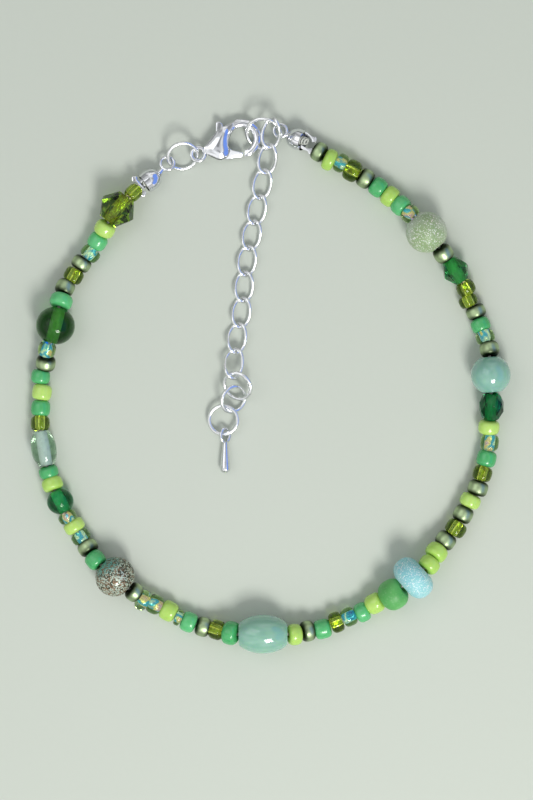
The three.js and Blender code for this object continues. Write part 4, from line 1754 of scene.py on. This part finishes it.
@dataclass
class Studio:
    """A pale sweep, a soft key and fill, a room with blue windows, and the camera overhead."""

    middle: tuple[float, float] = (-0.55, -2.47)
    height: float = 380.0
    frame_tall: float = 125.0
    focus: float = 2.5
    sensor: float = 36.0
    # Which ways the windows and the dim corner lie.
    windows: tuple[tuple[float, float, float], ...] = (
        (0.62, 0.5, 0.605), (0.79, 0.12, 0.6), (0.765, -0.294, 0.574),
    )
    corner: tuple[float, float, float] = (-0.62, 0.5, 0.6)
    sky: Color = (0.18, 0.32, 0.85)
    unlit_wall: Color = (0.12, 0.13, 0.13)
    unlit_corner: Color = (0.2, 0.21, 0.21)
    room_light: float = 0.72  # the room's strength to every ray but a glossy one
    room_shine: float = 1.25  # and to a glossy one

    def build(self) -> None:
        """Set up everything."""
        self._floor()
        self._world()
        self._panel("key_panel", (120.0, -330.0, 400.0), 170.0, 1.75, (1.0, 0.985, 0.95))
        self._panel("fill_panel", (-260.0, 120.0, 420.0), 320.0, 0.35, (0.97, 0.99, 1.0))
        self._camera()

    def _floor(self) -> None:
        """Lay the pale sweep."""
        sheet = bmesh.new()
        bmesh.ops.create_grid(sheet, x_segments=1, y_segments=1, size=1.5)
        mesh = bpy.data.meshes.new("floor")
        sheet.to_mesh(mesh)
        sheet.free()
        mesh.materials.append(Paper("pale_paper", srgb(206, 213, 204)).material())
        floor = bpy.data.objects.new("floor", mesh)
        bpy.context.scene.collection.objects.link(floor)
        floor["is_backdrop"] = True

    @staticmethod
    def _facing(graph: Graph, way: bpy.types.NodeSocket, toward: tuple[float, float, float]) -> Signal:
        """Return how nearly each way in the room points toward another."""
        node = graph.add("ShaderNodeVectorMath", {"operation": "DOT_PRODUCT"}, {0: way, 1: toward})
        return Signal(graph, node.outputs["Value"])

    def _world(self) -> None:
        """Wrap the scene in soft light: dim overhead, with blue windows that only reflections show."""
        graph = Graph("room")
        world = bpy.data.worlds.new("soft_room")
        world.use_nodes = True
        graph.tree = world.node_tree
        graph.tree.nodes.clear()
        way = graph.add("ShaderNodeTexCoord").outputs["Generated"]
        split = graph.add("ShaderNodeSeparateXYZ", None, {0: way})
        stops = [
            (0.0, (0.22, 0.23, 0.22)), (0.16, (0.4, 0.42, 0.41)), (0.45, (1.0, 1.0, 1.0)),
            (0.9, (0.9, 0.92, 0.93)), (0.98, (0.56, 0.57, 0.59)),
        ]
        room = graph.ramp(Signal(graph, split.outputs["Z"]), stops)
        walls = graph.add("ShaderNodeTexNoise", None, {"Vector": way, "Scale": 2.4, "Detail": 1.0})
        unlit = 1 - Signal(graph, walls.outputs[0]).between(0.4, 0.56)
        room = graph.mix(unlit * 0.72, room, self.unlit_wall)
        dusk = self._facing(graph, way, self.corner).between(0.72, 0.92)
        room = graph.mix(dusk * 0.55, room, self.unlit_corner)
        pane = Signal(graph, split.outputs["Z"]) * 0
        for window in self.windows:
            pane = pane + self._facing(graph, way, window).between(0.94, 0.965)
        gloss = Signal(graph, graph.add("ShaderNodeLightPath").outputs["Is Glossy Ray"])
        strength = self.room_light + gloss * (self.room_shine - self.room_light)
        color = graph.mix(pane * gloss, room, self.sky)
        back = graph.add("ShaderNodeBackground", None, {"Color": color, "Strength": strength})
        graph.add("ShaderNodeOutputWorld", None, {"Surface": back.outputs["Background"]})
        bpy.data.materials.remove(graph.material)
        bpy.context.scene.world = world

    @staticmethod
    def _panel(
        name: str, place: tuple[float, float, float], size: float, watts: float, color: Color
    ) -> None:
        """Hang a square soft light that faces the anklet.

        Args:
            name: the light's name.
            place: where it hangs, in millimetres.
            size: its side, in millimetres.
            watts: its power.
            color: its colour.
        """
        data = bpy.data.lights.new(name, "AREA")
        data.shape = "SQUARE"
        data.size = size * MM
        data.energy = watts
        data.color = color
        lamp = bpy.data.objects.new(name, data)
        lamp.location = Vector(place) * MM
        lamp.rotation_euler = lamp.location.to_track_quat("Z", "Y").to_euler()
        bpy.context.scene.collection.objects.link(lamp)

    def _camera(self) -> None:
        """Hang the camera straight above the middle of the ring."""
        data = bpy.data.cameras.new("overhead")
        data.sensor_fit = "VERTICAL"
        data.sensor_height = self.sensor
        data.lens = self.sensor * (self.height - self.focus) / self.frame_tall
        data.clip_start = 0.01
        camera = bpy.data.objects.new("overhead", data)
        camera.location = Vector((*self.middle, self.height)) * MM
        bpy.context.scene.collection.objects.link(camera)
        bpy.context.scene.camera = camera


def corners() -> list[list[float]]:
    """Return the whole object's lowest and highest corners as plain lists."""
    return [[float(value) for value in corner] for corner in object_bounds()]


def main() -> None:
    """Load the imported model, dress it, and light it."""
    logging.basicConfig(level=logging.INFO, format="%(name)s: %(message)s")
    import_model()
    scene = bpy.context.scene
    scene.view_settings.view_transform = "Standard"
    Studio().build()
    bench = Bench()
    Strand(bench).build()
    plate = Plate("silver_plate", srgb(225, 226, 229)).material()
    nylon = Nylon("knot_nylon", srgb(232, 236, 228)).material()
    wire = Plate("silver_wire", srgb(232, 233, 234), 0.2).material()
    Rings(bench, wire).build()
    ExtenderChain(bench, wire).build()
    left_loop = (-16.09, 34.63, 1.4, 1.08, 14, -80)
    left_lips = [
        ([(-19.5, 30.7), (-20.1, 31.1), (-20.8, 31.7), (-21.5, 32.4)], 0.9),
        ([(-20.0, 32.1), (-20.5, 31.2), (-20.6, 30.4), (-20.2, 29.7), (-19.4, 30.1)], 0.5),
    ]
    right_loop = (1.62, 39.7, 1.51, 1.02, 9, 42)
    right_lips = [
        ([(5.3, 39.4), (6.0, 38.95), (6.6, 38.5), (7.2, 38.0)], 0.5),
        ([(4.7, 37.2), (5.3, 36.9), (6.0, 36.6), (6.6, 36.3)], 0.6),
    ]
    left_cup = ("calotte_left", (-18.6, 32.1, 1.75), 36, left_loop, left_lips)
    Calotte(bench, plate, nylon, *left_cup, lean=8).build()
    right_cup = ("calotte_right", (4.15, 38.45, 1.6), 160, right_loop, right_lips)
    Calotte(bench, plate, nylon, *right_cup).build()
    Clasp(bench, plate).build()
    Drop(bench, plate).build()
    LOG.info("%d pieces", bench.made)


if __name__ == "__main__":
    main()
